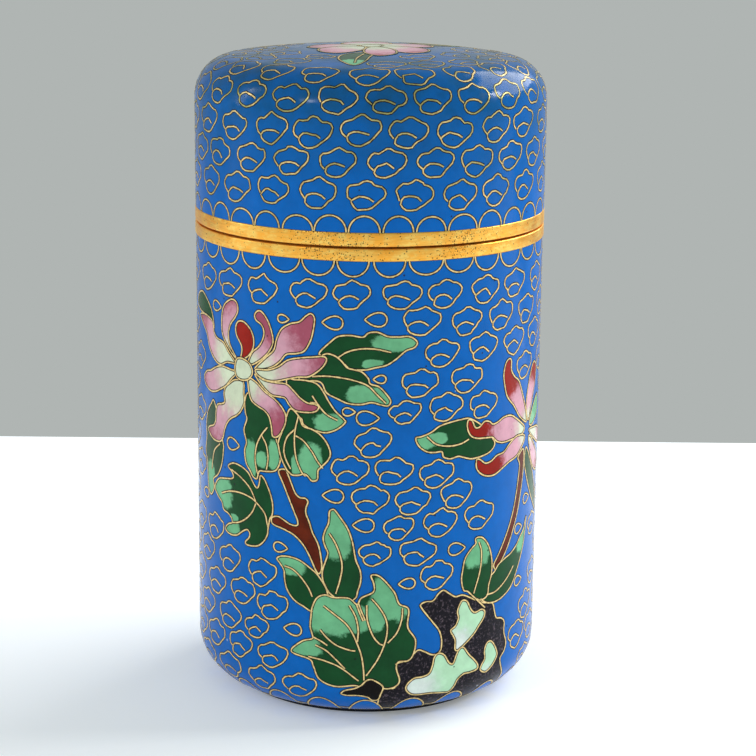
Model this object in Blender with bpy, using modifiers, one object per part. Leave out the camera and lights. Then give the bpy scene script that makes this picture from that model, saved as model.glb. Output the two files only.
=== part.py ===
"""A small round enamelled box with a lift-off lid, built from turned pieces.

The box stands upright on a low foot ring. Its body is a hollow cup with a rounded
base, its lid a hollow cap with a rounded shoulder. Each mouth carries a flat metal
band, and the body's band has an inner collar that the lid slips over. The frame is
metres with +Z up, and the origin is at the middle of the underside.
"""

import math

import bmesh
import bpy

MM = 0.001

# Driving sizes of the whole box
TOTAL_HEIGHT = 96.5 * MM
LID_RADIUS = 26.0 * MM
BODY_RADIUS = 25.95 * MM
WALL = 1.7 * MM
SEAM_HEIGHT = 70.9 * MM

# Metal bands at the two mouths
BAND_RADIUS = 26.05 * MM
LID_BAND_HEIGHT = 2.0 * MM
BODY_BAND_HEIGHT = 1.8 * MM
BAND_EDGE = 0.2 * MM

# Collar inside the mouth, in one piece with the body's band
COLLAR_WALL = 0.8 * MM
COLLAR_RISE = 4.2 * MM
COLLAR_DEPTH = 4.0 * MM

# Rounded base, the flat underside inside its lip, and the ring it stands on
BASE_FILLET = 6.5 * MM
BASE_LOW = 0.7 * MM
FOOT_HEIGHT = 1.1 * MM
FOOT_RADIUS = 20.3 * MM
FOOT_WIDTH = 1.8 * MM

# Rounded shoulder and low dome of the lid
SHOULDER_RADIUS = 6.0 * MM
DOME_RADIUS = 155.0 * MM

# Clearance between neighbouring pieces, and how finely the turned shapes are divided
GAP = 0.3 * MM
TURN_STEPS = 64
FILLET_STEPS = 8
INNER_FILLET_STEPS = 6
DOME_STEPS = 4
MERGE_DISTANCE = 0.00001
SHARP_ANGLE = math.radians(35)

# Finishes: base colour, roughness, metallic
BLUE_ENAMEL = ("blue_enamel", (0.012, 0.115, 0.46), 0.22, 0.0)
GILT_BRASS = ("gilt_brass", (0.78, 0.42, 0.10), 0.34, 1.0)
DARK_BRASS = ("dark_brass", (0.045, 0.042, 0.050), 0.50, 1.0)


def clear_scene():
    """Remove every object, so that the script starts from nothing."""
    for obj in list(bpy.data.objects):
        bpy.data.objects.remove(obj, do_unlink=True)


def make_collection(name):
    """Return a new collection linked under the scene."""
    collection = bpy.data.collections.new(name)
    bpy.context.scene.collection.children.link(collection)
    return collection


def make_material(name, colour, roughness, metallic):
    """Return a Principled material with one plain finish."""
    material = bpy.data.materials.new(name)
    material.use_nodes = True
    shader = material.node_tree.nodes["Principled BSDF"]
    shader.inputs["Base Color"].default_value = (*colour, 1.0)
    shader.inputs["Roughness"].default_value = roughness
    shader.inputs["Metallic"].default_value = metallic
    material.diffuse_color = (*colour, 1.0)
    return material


def arc(centre, radius, start, end, steps):
    """Points (r, z) on a circle about centre, from one angle above the horizontal to another."""
    points = []
    for step in range(steps + 1):
        angle = start + (end - start) * step / steps
        points.append((centre[0] + radius * math.cos(angle), centre[1] + radius * math.sin(angle)))
    return points


def turn(name, profile, material, collection, closed):
    """Make a solid of revolution about Z from (r, z) points that run down the outer side."""
    mesh = bpy.data.meshes.new(name)
    outline = bmesh.new()
    corners = [outline.verts.new((radius, 0.0, height)) for radius, height in profile]
    for first, second in zip(corners, corners[1:]):
        outline.edges.new((first, second))
    if closed:
        outline.edges.new((corners[-1], corners[0]))
    outline.to_mesh(mesh)
    outline.free()
    mesh.materials.append(material)
    obj = bpy.data.objects.new(name, mesh)
    collection.objects.link(obj)
    screw = obj.modifiers.new("Turn", "SCREW")
    screw.axis = "Z"
    screw.angle = math.tau
    screw.steps = TURN_STEPS
    screw.render_steps = TURN_STEPS
    screw.use_merge_vertices = True
    screw.merge_threshold = MERGE_DISTANCE
    return shade_round(obj)


def shade_round(obj):
    """Apply the turning, then shade the walls smooth and keep the corners crisp."""
    graph = bpy.context.evaluated_depsgraph_get()
    turned = bpy.data.meshes.new_from_object(obj.evaluated_get(graph))
    outline = obj.data
    obj.modifiers.clear()
    obj.data = turned
    turned.name = obj.name
    turned.shade_smooth()
    turned.set_sharp_from_angle(angle=SHARP_ANGLE)
    bpy.data.meshes.remove(outline)
    return obj


def body_shell_profile():
    """The cup: up the inner side from the floor's middle, over the mouth and down to the lip."""
    inner_radius = BODY_RADIUS - WALL
    mouth = SEAM_HEIGHT - BODY_BAND_HEIGHT - GAP / 2
    reach = BODY_RADIUS - BASE_FILLET
    lip_radius = FOOT_RADIUS + GAP
    lip_angle = -math.acos((lip_radius - reach) / BASE_FILLET)
    inner_centre = (reach, FOOT_HEIGHT + BASE_FILLET)
    outer_centre = (reach, BASE_LOW + BASE_FILLET)
    inner = [(0.0, FOOT_HEIGHT + WALL)]
    inner += arc(inner_centre, BASE_FILLET - WALL, -math.pi / 2, 0.0, INNER_FILLET_STEPS)
    inner += [(inner_radius, mouth)]
    outer = [(BODY_RADIUS, mouth)]
    outer += arc(outer_centre, BASE_FILLET, 0.0, lip_angle, FILLET_STEPS)
    outer += [(lip_radius, FOOT_HEIGHT), (0.0, FOOT_HEIGHT)]
    return inner + outer


def lid_skin(offset, dome_steps, shoulder_steps):
    """One face of the cap, from the middle of its top out and down to the end of the shoulder."""
    reach = LID_RADIUS - SHOULDER_RADIUS
    tilt = math.asin(reach / (DOME_RADIUS - SHOULDER_RADIUS))
    dome_centre = (0.0, TOTAL_HEIGHT - DOME_RADIUS)
    shoulder_height = dome_centre[1] + (DOME_RADIUS - SHOULDER_RADIUS) * math.cos(tilt)
    upright = math.pi / 2
    dome = arc(dome_centre, DOME_RADIUS - offset, upright, upright - tilt, dome_steps)
    shoulder = arc((reach, shoulder_height), SHOULDER_RADIUS - offset, upright - tilt, 0.0, shoulder_steps)
    dome[0] = (0.0, dome[0][1])
    return dome + shoulder[1:]


def lid_shell_profile():
    """The cap: from the top's middle down the outer side, round the mouth and up the inner side."""
    mouth = SEAM_HEIGHT + LID_BAND_HEIGHT + GAP / 2
    outer = lid_skin(0.0, DOME_STEPS, FILLET_STEPS) + [(LID_RADIUS, mouth)]
    inner = lid_skin(WALL, DOME_STEPS, INNER_FILLET_STEPS) + [(LID_RADIUS - WALL, mouth)]
    return outer + inner[::-1]


def body_rim_profile():
    """The body's band with its collar: a T on its side, with the seat for the lid on top."""
    collar_outer = BODY_RADIUS - WALL - GAP
    collar_inner = collar_outer - COLLAR_WALL
    seat = SEAM_HEIGHT - GAP / 2
    bottom = SEAM_HEIGHT - BODY_BAND_HEIGHT + GAP / 2
    collar_top = SEAM_HEIGHT + COLLAR_RISE
    collar_bottom = bottom - COLLAR_DEPTH
    return [
        (collar_outer - BAND_EDGE, collar_top),
        (collar_outer, collar_top - BAND_EDGE),
        (collar_outer, seat),
        (BAND_RADIUS - BAND_EDGE, seat),
        (BAND_RADIUS, seat - BAND_EDGE),
        (BAND_RADIUS, bottom + BAND_EDGE),
        (BAND_RADIUS - BAND_EDGE, bottom),
        (collar_outer, bottom),
        (collar_outer, collar_bottom),
        (collar_inner, collar_bottom),
        (collar_inner, collar_top),
    ]


def lid_rim_profile():
    """The lid's band: a flat ring as thick as the wall, with softened outer edges."""
    bottom = SEAM_HEIGHT + GAP / 2
    top = SEAM_HEIGHT + LID_BAND_HEIGHT - GAP / 2
    inner_radius = BODY_RADIUS - WALL
    return [
        (BAND_RADIUS - BAND_EDGE, top),
        (BAND_RADIUS, top - BAND_EDGE),
        (BAND_RADIUS, bottom + BAND_EDGE),
        (BAND_RADIUS - BAND_EDGE, bottom),
        (inner_radius, bottom),
        (inner_radius, top),
    ]


def foot_ring_profile():
    """The foot: a low ring with a softened outer lower edge."""
    top = FOOT_HEIGHT - GAP
    return [
        (FOOT_RADIUS, top),
        (FOOT_RADIUS, BAND_EDGE),
        (FOOT_RADIUS - BAND_EDGE, 0.0),
        (FOOT_RADIUS - FOOT_WIDTH, 0.0),
        (FOOT_RADIUS - FOOT_WIDTH, top),
    ]


def main():
    clear_scene()
    box = make_collection("enamel_box")
    enamel = make_material(*BLUE_ENAMEL)
    gilt = make_material(*GILT_BRASS)
    dark = make_material(*DARK_BRASS)
    turn("body_shell", body_shell_profile(), enamel, box, closed=False)
    turn("body_rim", body_rim_profile(), gilt, box, closed=True)
    turn("lid_shell", lid_shell_profile(), enamel, box, closed=False)
    turn("lid_rim", lid_rim_profile(), gilt, box, closed=True)
    turn("foot_ring", foot_ring_profile(), dark, box, closed=True)


main()
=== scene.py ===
"""A small round cloisonne box with a lift-off lid: its finished surfaces, laid over the CAD frame.

The vessel, lid, bands and foot are turned shapes. The picture on the outside is built as the real
one is: cells of coloured enamel, each fenced by a thin gilt wire, on a ground of blue enamel
filled with small cloud loops.

The picture is drawn in millimetres on the unrolled wall: the first number is the distance round
the wall from the front, to the viewer's right, and the second the distance up the outside.
"""

import math

import bpy
import numpy as np
from bpy.props import FloatProperty, FloatVectorProperty, IntProperty, PointerProperty
from mathutils import Matrix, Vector
from mathutils.geometry import delaunay_2d_cdt


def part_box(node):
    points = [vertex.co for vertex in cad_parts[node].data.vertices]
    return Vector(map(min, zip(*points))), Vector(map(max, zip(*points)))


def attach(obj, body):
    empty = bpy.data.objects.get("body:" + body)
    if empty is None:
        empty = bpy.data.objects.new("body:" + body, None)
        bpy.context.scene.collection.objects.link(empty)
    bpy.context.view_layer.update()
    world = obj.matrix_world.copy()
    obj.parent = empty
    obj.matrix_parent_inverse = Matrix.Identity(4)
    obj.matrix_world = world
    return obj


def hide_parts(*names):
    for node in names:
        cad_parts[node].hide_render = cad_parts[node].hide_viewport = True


bl_info = {
    "name": "Enamel Box",
    "version": (1, 0, 0),
    "blender": (4, 5, 0),
    "location": "3D View > Sidebar > Enamel Box",
    "description": "Builds a round cloisonne box with flowers, rocks and cloud loops",
    "category": "Object",
}

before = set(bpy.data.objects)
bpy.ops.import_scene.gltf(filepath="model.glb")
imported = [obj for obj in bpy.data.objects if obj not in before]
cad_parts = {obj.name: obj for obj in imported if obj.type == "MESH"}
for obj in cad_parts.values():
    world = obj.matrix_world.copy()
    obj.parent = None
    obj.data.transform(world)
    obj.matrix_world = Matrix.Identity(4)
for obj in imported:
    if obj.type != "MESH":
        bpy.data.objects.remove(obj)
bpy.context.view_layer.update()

MM = 0.001
TURN = math.tau
QUARTER = math.pi / 2
BEND_WEIGHT = 0.4

# How far apart a cell's inner points stand, and how far they keep from its outline, in millimetres
FILL_STEP = 0.6
FILL_MARGIN = 0.25

# Sizes that come from the frame
BODY_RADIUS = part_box("body_shell")[1].x
LID_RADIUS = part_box("lid_shell")[1].x
BAND_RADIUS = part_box("body_rim")[1].x
FOOT_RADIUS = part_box("foot_ring")[1].x
FOOT_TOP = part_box("foot_ring")[1].z
TOTAL_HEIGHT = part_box("lid_shell")[1].z
BODY_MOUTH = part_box("body_shell")[1].z
LID_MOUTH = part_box("lid_shell")[0].z


def screen_colour(red, green, blue):
    """A colour named by its 0 to 255 screen values, as the linear values that the shaders use."""
    parts = np.array((red, green, blue)) / 255
    return tuple(np.where(parts <= 0.04045, parts / 12.92, ((parts + 0.055) / 1.055) ** 2.4).tolist())


def length(name, millimetres, text):
    """A length setting in the unit of the scene, given in millimetres."""
    return FloatProperty(name=name, description=text, default=millimetres * MM, min=0.0, unit="LENGTH",
        precision=5)


def colour(name, red, green, blue, text):
    """A colour setting, given by its screen values."""
    return FloatVectorProperty(
        name=name, description=text, default=screen_colour(red, green, blue), size=3, min=0.0, max=1.0,
        subtype="COLOR"
    )


class BoxSizes(bpy.types.PropertyGroup):
    """Sizes of the turned pieces, the wires and the cells."""

    wall: length("Wall", 1.7, "Thickness of the enamelled wall")
    base_fillet: length("Base Rounding", 6.5, "Radius of the rounding between the wall and the base")
    base_low: length("Base Low Point", 0.7, "Height that the rounding's lowest point would reach")
    shoulder: length("Shoulder", 6.0, "Radius of the lid's shoulder")
    dome: length("Dome", 155.0, "Radius of the lid's low dome")
    seam: length("Seam Height", 70.9, "Height of the seam between the two bands")
    gap: length("Gap", 0.3, "Clearance between neighbouring solids of the frame")
    joint: length("Joint", 0.02, "Hairline left where the metal meets the enamel")
    collar_wall: length("Collar Wall", 0.8, "Thickness of the collar inside the mouth")
    collar_rise: length("Collar Rise", 4.2, "How far the collar stands above the seam")
    collar_depth: length("Collar Depth", 4.0, "How far the collar reaches down inside the body")
    band_edge: length("Band Edge", 0.2, "Rounding of the bands' outer edges")
    foot_width: length("Foot Width", 1.8, "Width of the ring that the box stands on")
    wire_width: length("Wire Width", 0.46, "Width of a wire with the dark line at each side of it")
    wire_rise: length("Wire Rise", 0.03, "How far a wire's middle stands above the enamel")
    cell_rise: length("Cell Rise", 0.02, "How far the first layer of cells stands above the ground")
    layer_step: length("Layer Step", 0.008, "Rise from one layer of cells to the next")
    cell_depth: length("Cell Depth", 0.05, "How far a cell reaches down into the ground")
    turn_steps: IntProperty(name="Turn Steps", description="Divisions round a turned piece", default=512,
        min=64, max=1024)


class BoxColours(bpy.types.PropertyGroup):
    """Colours of the enamels and metals."""

    blue: colour("Blue", 4, 100, 186, "Ground enamel")
    grime: colour("Grime", 26, 74, 84, "Greenish dirt on the lid's enamel")
    lining: colour("Lining", 84, 158, 190, "Plain enamel inside and underneath")
    leaf: colour("Leaf", 16, 72, 36, "Dark green of the leaves")
    mint: colour("Mint", 112, 184, 136, "Pale green of the leaf tips")
    cream: colour("Cream", 214, 224, 194, "Petals near the middle of a flower")
    blush: colour("Blush", 214, 160, 176, "Petals half way out")
    rose: colour("Rose", 168, 84, 104, "Petal tips")
    red: colour("Red", 150, 26, 12, "Scarlet petals")
    bark: colour("Bark", 98, 32, 8, "Branches")
    root: colour("Root", 12, 8, 8, "Black root under the big leaf")
    stone: colour("Stone", 22, 19, 27, "Dark stone")
    lichen: colour("Lichen", 184, 228, 190, "Pale patches on the stone")
    gilt: colour("Gilt", 255, 178, 60, "Bands at the mouth")
    # Painted highlight: a brighter gilt tone laid in random patches and streaks on the bands, standing in for
    # reflections
    gilt_highlight: colour("Gilt Highlight", 255, 224, 120, "Painted highlight patches on the bands")
    wire: colour("Wire", 244, 214, 150, "Wires between the cells")
    patina: colour("Patina", 20, 16, 14, "Dark line along the wires")
    verdigris: colour("Verdigris", 120, 140, 84, "Green tarnish on the lid's wires")
    # Painted shade: the foot ring's near-black navy is part dark tarnish and part the shade of the gap under
    # the base
    foot: colour("Foot", 14, 16, 26, "Foot ring, dark tarnish and painted shade")
    # Painted sheen: lighter patches on the foot ring that stand in for reflections
    foot_sheen: colour("Foot Sheen", 30, 36, 50, "Painted sheen on the foot ring")


class StageSettings(bpy.types.PropertyGroup):
    """The floor, the backdrop, the lights and the camera."""

    floor: colour("Floor", 246, 249, 252, "Pale table")
    air: colour("Air", 176, 181, 179, "Grey behind the table")
    key_power: FloatProperty(name="Key Light", description="Power of the main light", default=6.5,
        min=0.0, unit="POWER")
    fill_power: FloatProperty(name="Fill Light", description="Power of the side light", default=2.0,
        min=0.0, unit="POWER")
    air_strength: FloatProperty(name="Air Strength", description="Light from all round", default=1.0, min=0.0)
    camera_distance: length("Camera Distance", 317.7, "From the box's axis to the camera")
    camera_height: length("Camera Height", 123.3, "From the table to the camera")
    lens: FloatProperty(name="Lens", description="Focal length in millimetres", default=102.0, min=10.0)


# Shapes

def shoulder_line(sizes):
    """Where the lid's shoulder starts on the wall, where it ends, and the tilt of the dome's edge."""
    tilt = math.asin((LID_RADIUS - sizes.shoulder) / (sizes.dome - sizes.shoulder))
    start = TOTAL_HEIGHT - sizes.dome + (sizes.dome - sizes.shoulder) * math.cos(tilt)
    return start, start + sizes.shoulder * (QUARTER - tilt), tilt


def wall(sizes, around, up):
    """Points and outward normals on the outside, from an angle round it and a distance up it.

    The distance is the height on the straight wall. Below that it follows a quarter circle under
    the base, and above it the shoulder's arc and then the dome's arc to the pole. The normal leans
    by the arc's angle, and every radius is the arc's centre plus its radius times the cosine.
    """
    around, up = np.broadcast_arrays(around, up)
    turn_height = sizes.base_low + sizes.base_fillet
    start, end, tilt = shoulder_line(sizes)
    below = np.clip((turn_height - up) / sizes.base_fillet, 0, QUARTER)
    above = np.clip((up - start) / sizes.shoulder, 0, QUARTER - tilt)
    dome = np.clip(up - end, 0, None) / sizes.dome
    lean = above + dome - below
    cosine, sine = np.cos(lean), np.sin(lean)
    cup = [up < turn_height, up < sizes.seam, up < start, up <= end]
    radius = np.select(
        cup,
        [BODY_RADIUS + sizes.base_fillet * (cosine - 1), BODY_RADIUS + 0 * up, LID_RADIUS + 0 * up,
         LID_RADIUS + sizes.shoulder * (cosine - 1)],
        sizes.dome * cosine,
    )
    height = np.select(
        cup,
        [turn_height + sizes.base_fillet * sine, up, up, start + sizes.shoulder * sine],
        TOTAL_HEIGHT + sizes.dome * (sine - 1),
    )
    normal = np.stack([cosine * np.sin(around), -cosine * np.cos(around), sine], -1)
    point = np.stack([radius * np.sin(around), -radius * np.cos(around), height], -1)
    return point, normal


def radius_at(sizes, up):
    """Radius of the outside at a distance up it."""
    return np.hypot(*wall(sizes, 0.0 * up, up)[0].T[:2])


def arc(centre, radius, start, end, steps):
    """Points (r, z) on a circle about centre, between two angles above the horizontal in degrees."""
    angle = np.radians(np.linspace(start, end, steps + 1))
    return np.column_stack([centre[0] + radius * np.cos(angle), centre[1] + radius * np.sin(angle)])


def turned(profile, steps, closed=False):
    """Points and faces of a profile (r, z) turned about the upright axis.

    Each point of the profile becomes a ring, r cos a, r sin a, z, and each pair of rings a row of
    four-sided faces. A ring on the axis shrinks to one point.
    """
    angle = np.linspace(0, TURN, steps, endpoint=False)
    radius, height = profile[:, :1], profile[:, 1:]
    grid = np.stack([radius * np.cos(angle), radius * np.sin(angle), height + 0 * angle], -1)
    ring = np.arange(len(profile) * steps).reshape(len(profile), steps)
    on_axis = profile[:, 0] < 1e-9
    ring[on_axis] = ring[on_axis][:, :1]
    lower, upper = (ring, np.roll(ring, -1, 0)) if closed else (ring[:-1], ring[1:])
    faces = np.stack([lower, np.roll(lower, -1, 1), np.roll(upper, -1, 1), upper], -1)
    return grid.reshape(-1, 3), faces.reshape(-1, 4)


def flowing(points, closed, spacing):
    """A smooth line through points, as points that stand closer together where it bends.

    Between two points runs the cubic whose slope at each of them is half the step between its
    neighbours. The line is then cut where its length plus its bending grows by equal steps.
    """
    if closed:
        held = np.concatenate([points[-1:], points, points[:2]])
    else:
        held = np.concatenate([2 * points[:1] - points[1:2], points, 2 * points[-1:] - points[-2:-1]])
    before, start, end, after = held[:-3], held[1:-2], held[2:-1], held[3:]
    t = np.linspace(0, 1, 8, endpoint=False)[:, None, None]
    curve = 0.5 * (
        2 * start
        + (end - before) * t
        + (2 * before - 5 * start + 4 * end - after) * t**2
        + (3 * start - before - 3 * end + after) * t**3
    )
    curve = np.concatenate([curve.transpose(1, 0, 2).reshape(-1, 2), end[-1:]])
    step = np.diff(curve, axis=0)
    heading = np.unwrap(np.arctan2(step[:, 1], step[:, 0]))
    bending = np.abs(np.diff(heading, append=heading[-1]))
    along = np.concatenate([[0], np.cumsum(np.hypot(*step.T) + BEND_WEIGHT * bending)])
    count = max(6, math.ceil(along[-1] / spacing))
    at = np.linspace(0, along[-1], count + 1)
    at = at[:-1] if closed else at
    return np.column_stack([np.interp(at, along, curve[:, 0]), np.interp(at, along, curve[:, 1])])


def inside(points, outline):
    """Which points lie inside an outline: those with an odd number of its sides to their right."""
    x, y = points[:, :1], points[:, 1:]
    x0, y0 = outline.T
    x1, y1 = np.roll(outline, -1, 0).T
    rise = np.where(y1 == y0, 1, y1 - y0)
    crosses = ((y0 > y) != (y1 > y)) & (x < x0 + (y - y0) * (x1 - x0) / rise)
    return crosses.sum(1) % 2 == 1


def nearest(points, others):
    """Distance from each point to the nearest of the others."""
    return np.sqrt(((points[:, None] - others[None]) ** 2).sum(-1).min(1))


# The picture


def pairs(numbers):
    """A flat run of numbers as points."""
    return np.array(numbers, float).reshape(-1, 2)


# Each entry is a kind of cell, its outline, and its shading: for a petal the point that its colour
# deepens away from and how far it deepens, for a leaf the pale patches as centre and half widths.
FAR_LEAVES = (
    ("leaf", (-27.2, 56.6, -27.6, 58.3, -28.6, 59.7, -30.4, 60.8, -32, 61.2, -34, 60.5, -35, 59, -33, 58.2,
     -30, 58, -27.9, 57.4), ()),
    ("leaf", (-7, 55.6, -5.2, 57.6, -4.2, 58.3, -2.6, 58.5, -0.8, 58.3, 0, 58.9, 1.3, 59, 2.7, 58.4, 4.2,
     58.3, 5.8, 58.3, 6.9, 57.5, 6.5, 56.7, 5.3, 56.3, 4, 55.2, 2.6, 54.3, 0.9, 53.9, -0.5, 53.6, -2.5,
     53.7, -3.6, 54.6, -4.6, 55.4), (3.8, 57.5, 3.3, 1.3, 0.7, 54.4, 1.5, 0.7)),
    ("vein", (-4.2, 55.3, -3, 56.1, -1.2, 56.6, 1, 56.6, 3.2, 56.1), ()),
    ("leaf", (-10, 51.9, -8, 54, -6.3, 55.6, -5, 55.6, -3.9, 54.9, -3, 53.9, -2, 53.6, -0.9, 53.3, 0, 52.4,
     0.3, 51.6, 1.5, 51.2, 2.5, 50.2, 3.2, 49.1, 2.8, 48.4, 1.7, 48.6, 0.5, 48.9, -1, 48.6, -2.8, 48.7,
     -4.3, 49.3, -5.9, 50.1, -6.5, 51.3, -7.3, 51.7, -9, 51.6), (-0.8, 50, 2.2, 1.3, 1.8, 49.7, 1.6, 1.4)),
    ("vein", (-8, 52.3, -6, 52.5, -4, 52.4, -1.8, 52, 0, 51.3, 1.3, 50, 2.5, 48.8), ()),
    ("leaf", (-12, 51.2, -10.5, 51.6, -8.5, 51.6, -7.2, 51.2, -6.3, 50.1, -5.6, 48.9, -4.6, 47.5, -3.4,
     46.4, -3.2, 45.9, -4.3, 44.9, -5.8, 44.3, -7.2, 44.4, -8.6, 44.8, -9.4, 45.3, -9.6, 46, -10.5, 47),
     (-5.5, 45.8, 2.2, 1.3)),
    ("vein", (-8, 49.5, -6.9, 48, -5.8, 46.9, -4.3, 46.2), ()),
    ("vein", (-8.3, 48.5, -7.2, 48.5), ()),
    ("leaf", (-9.4, 45, -8, 44.6, -6.9, 44, -5.9, 42.9, -5.3, 41.4, -5.6, 40.3, -6.6, 39.2, -7.1, 38.6,
     -7.2, 37.3, -8, 37, -8.6, 37.6, -9.2, 37.9, -10.2, 37.6, -11.2, 37.6, -12, 38.4, -12.6, 39.4, -13.2,
     41, -13.3, 42.2, -12.5, 44.2, -12, 46, -11.3, 47.3, -10, 46.3), (-8.2, 39.6, 1.7, 2.9, -10.6, 39, 0.6,
     1.4)),
    ("vein", (-10.1, 46.3, -10.6, 44.2, -10.7, 42.2, -10.4, 40, -9.6, 38.2, -9, 37.6), ()),
    ("vein", (-10.7, 44.3, -11.9, 43, -12.4, 41.2, -12.1, 39.8, -11.3, 38.4), ()),
    ("vein", (-10.5, 43.4, -9.3, 42.8, -8, 41.3, -7.2, 40, -6.4, 39), ()),
    ("leaf", (-18.8, 48.5, -19.5, 47.2, -19.4, 45.5, -19.1, 44.6, -19.7, 43, -19.4, 41.8, -19.2, 41, -19.6,
     39.8, -19.3, 38, -18.5, 37, -17.9, 36.2, -17.2, 36, -16.9, 36.8, -16.6, 37.3, -15.5, 37.4, -14, 37.7,
     -13.3, 38.5, -13, 39.6, -13.2, 41, -13.6, 42.2, -14.2, 44.4, -15.2, 46.4, -17, 47.6), (-18.5, 38.6,
     1.2, 3, -16.3, 39, 0.9, 1.2, -14.1, 40, 1, 2.2)),
    ("vein", (-15.2, 44, -16.3, 42.7, -17.2, 41, -17.5, 39, -17.2, 37.3, -16.9, 36.6), ()),
    ("vein", (-16.2, 42.6, -15.4, 41.3, -15.1, 39.5, -15.4, 37.7), ()),
    ("vein", (-13.4, 42, -12.9, 40, -12, 38.3, -11.3, 37.7), ()),
    ("leaf", (-27.2, 45.4, -28.5, 44.9, -29.8, 43.4, -30.4, 41.5, -30.3, 39.5, -30.8, 37.5, -30.2, 35.8,
     -30, 33.8, -29.7, 31.8, -28.7, 31, -27.6, 32.3, -27.8, 33.6, -26.5, 34.5, -25.6, 35.6, -25, 37, -24.7,
     38.6, -24.8, 40), (-28.9, 33.2, 1.5, 3)),
    ("vein", (-25.6, 39.5, -27.3, 38.2, -28, 36.5, -28.3, 35), ()),
    ("leaf", (-27.3, 32.3, -26.8, 33.4, -25.8, 34.2, -24, 34.6, -22.6, 34.9, -22.1, 35.3, -22.5, 36, -23.4,
     36.6, -22.8, 37.1, -21.8, 37.4, -20.2, 37.2, -18.9, 36.6, -18.2, 35.7, -17.5, 34.8, -17, 34.7, -16.7,
     35.5, -16.5, 36.6, -15.8, 36.2, -15.1, 35, -14.6, 33.8, -14.3, 32.4, -14.4, 31.1, -14.8, 30.4, -15.1,
     29, -15.3, 27.8, -16, 26.7, -17, 25.9, -18.3, 25.6, -19.3, 25.6, -19.5, 26, -18.8, 26.7, -18.6, 27.4,
     -19.1, 27.9, -20, 27.5, -21.3, 26.6, -22.6, 26.3, -23.8, 26.5, -24.2, 27, -23.4, 27.8, -22.5, 28.2,
     -22.7, 28.9, -23.5, 29.4, -24.7, 29.7, -25.2, 30.7, -26.2, 31.3), (-25, 32.3, 2.4, 2.4, -22.4, 27.2,
     1.9, 0.9, -22, 29, 1, 0.6)),
    ("vein", (-25.2, 32.1, -23, 32.9, -20.5, 33.2, -18.3, 32.9, -17, 32.2, -15.7, 31, -15.3, 29.6, -15.1,
     29), ()),
    ("vein", (-22.6, 36.3, -20.5, 35.6, -18.6, 34.4, -17.4, 32.6), ()),
    ("vein", (-17.4, 32.2, -18.1, 30.8, -19.4, 29.5, -21, 28.6, -22.5, 28.2), ()),
)

BRANCH = (
    ("bark", (-13.3, 37.8, -12.2, 38.2, -11.7, 37.4, -11, 35.8, -10.5, 34.8, -9.8, 34.3, -9, 34.3, -8.6,
     33.8, -8.9, 32.9, -8.9, 32, -8.4, 30.8, -7.9, 29.3, -7, 27.5, -6.6, 25.5, -6.5, 24, -6.9, 23.2, -7.4,
     23.7, -8, 25, -8.6, 26.2, -9.5, 27.5, -10.8, 28.6, -12.3, 29.2, -14, 29.6, -14.5, 30, -14.4, 30.7,
     -13.4, 31, -12.4, 30.6, -11.3, 30.1, -10.3, 30.1, -10.2, 30.8, -10.8, 32.2, -11.6, 34, -12.5, 36), ()),
)

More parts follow.
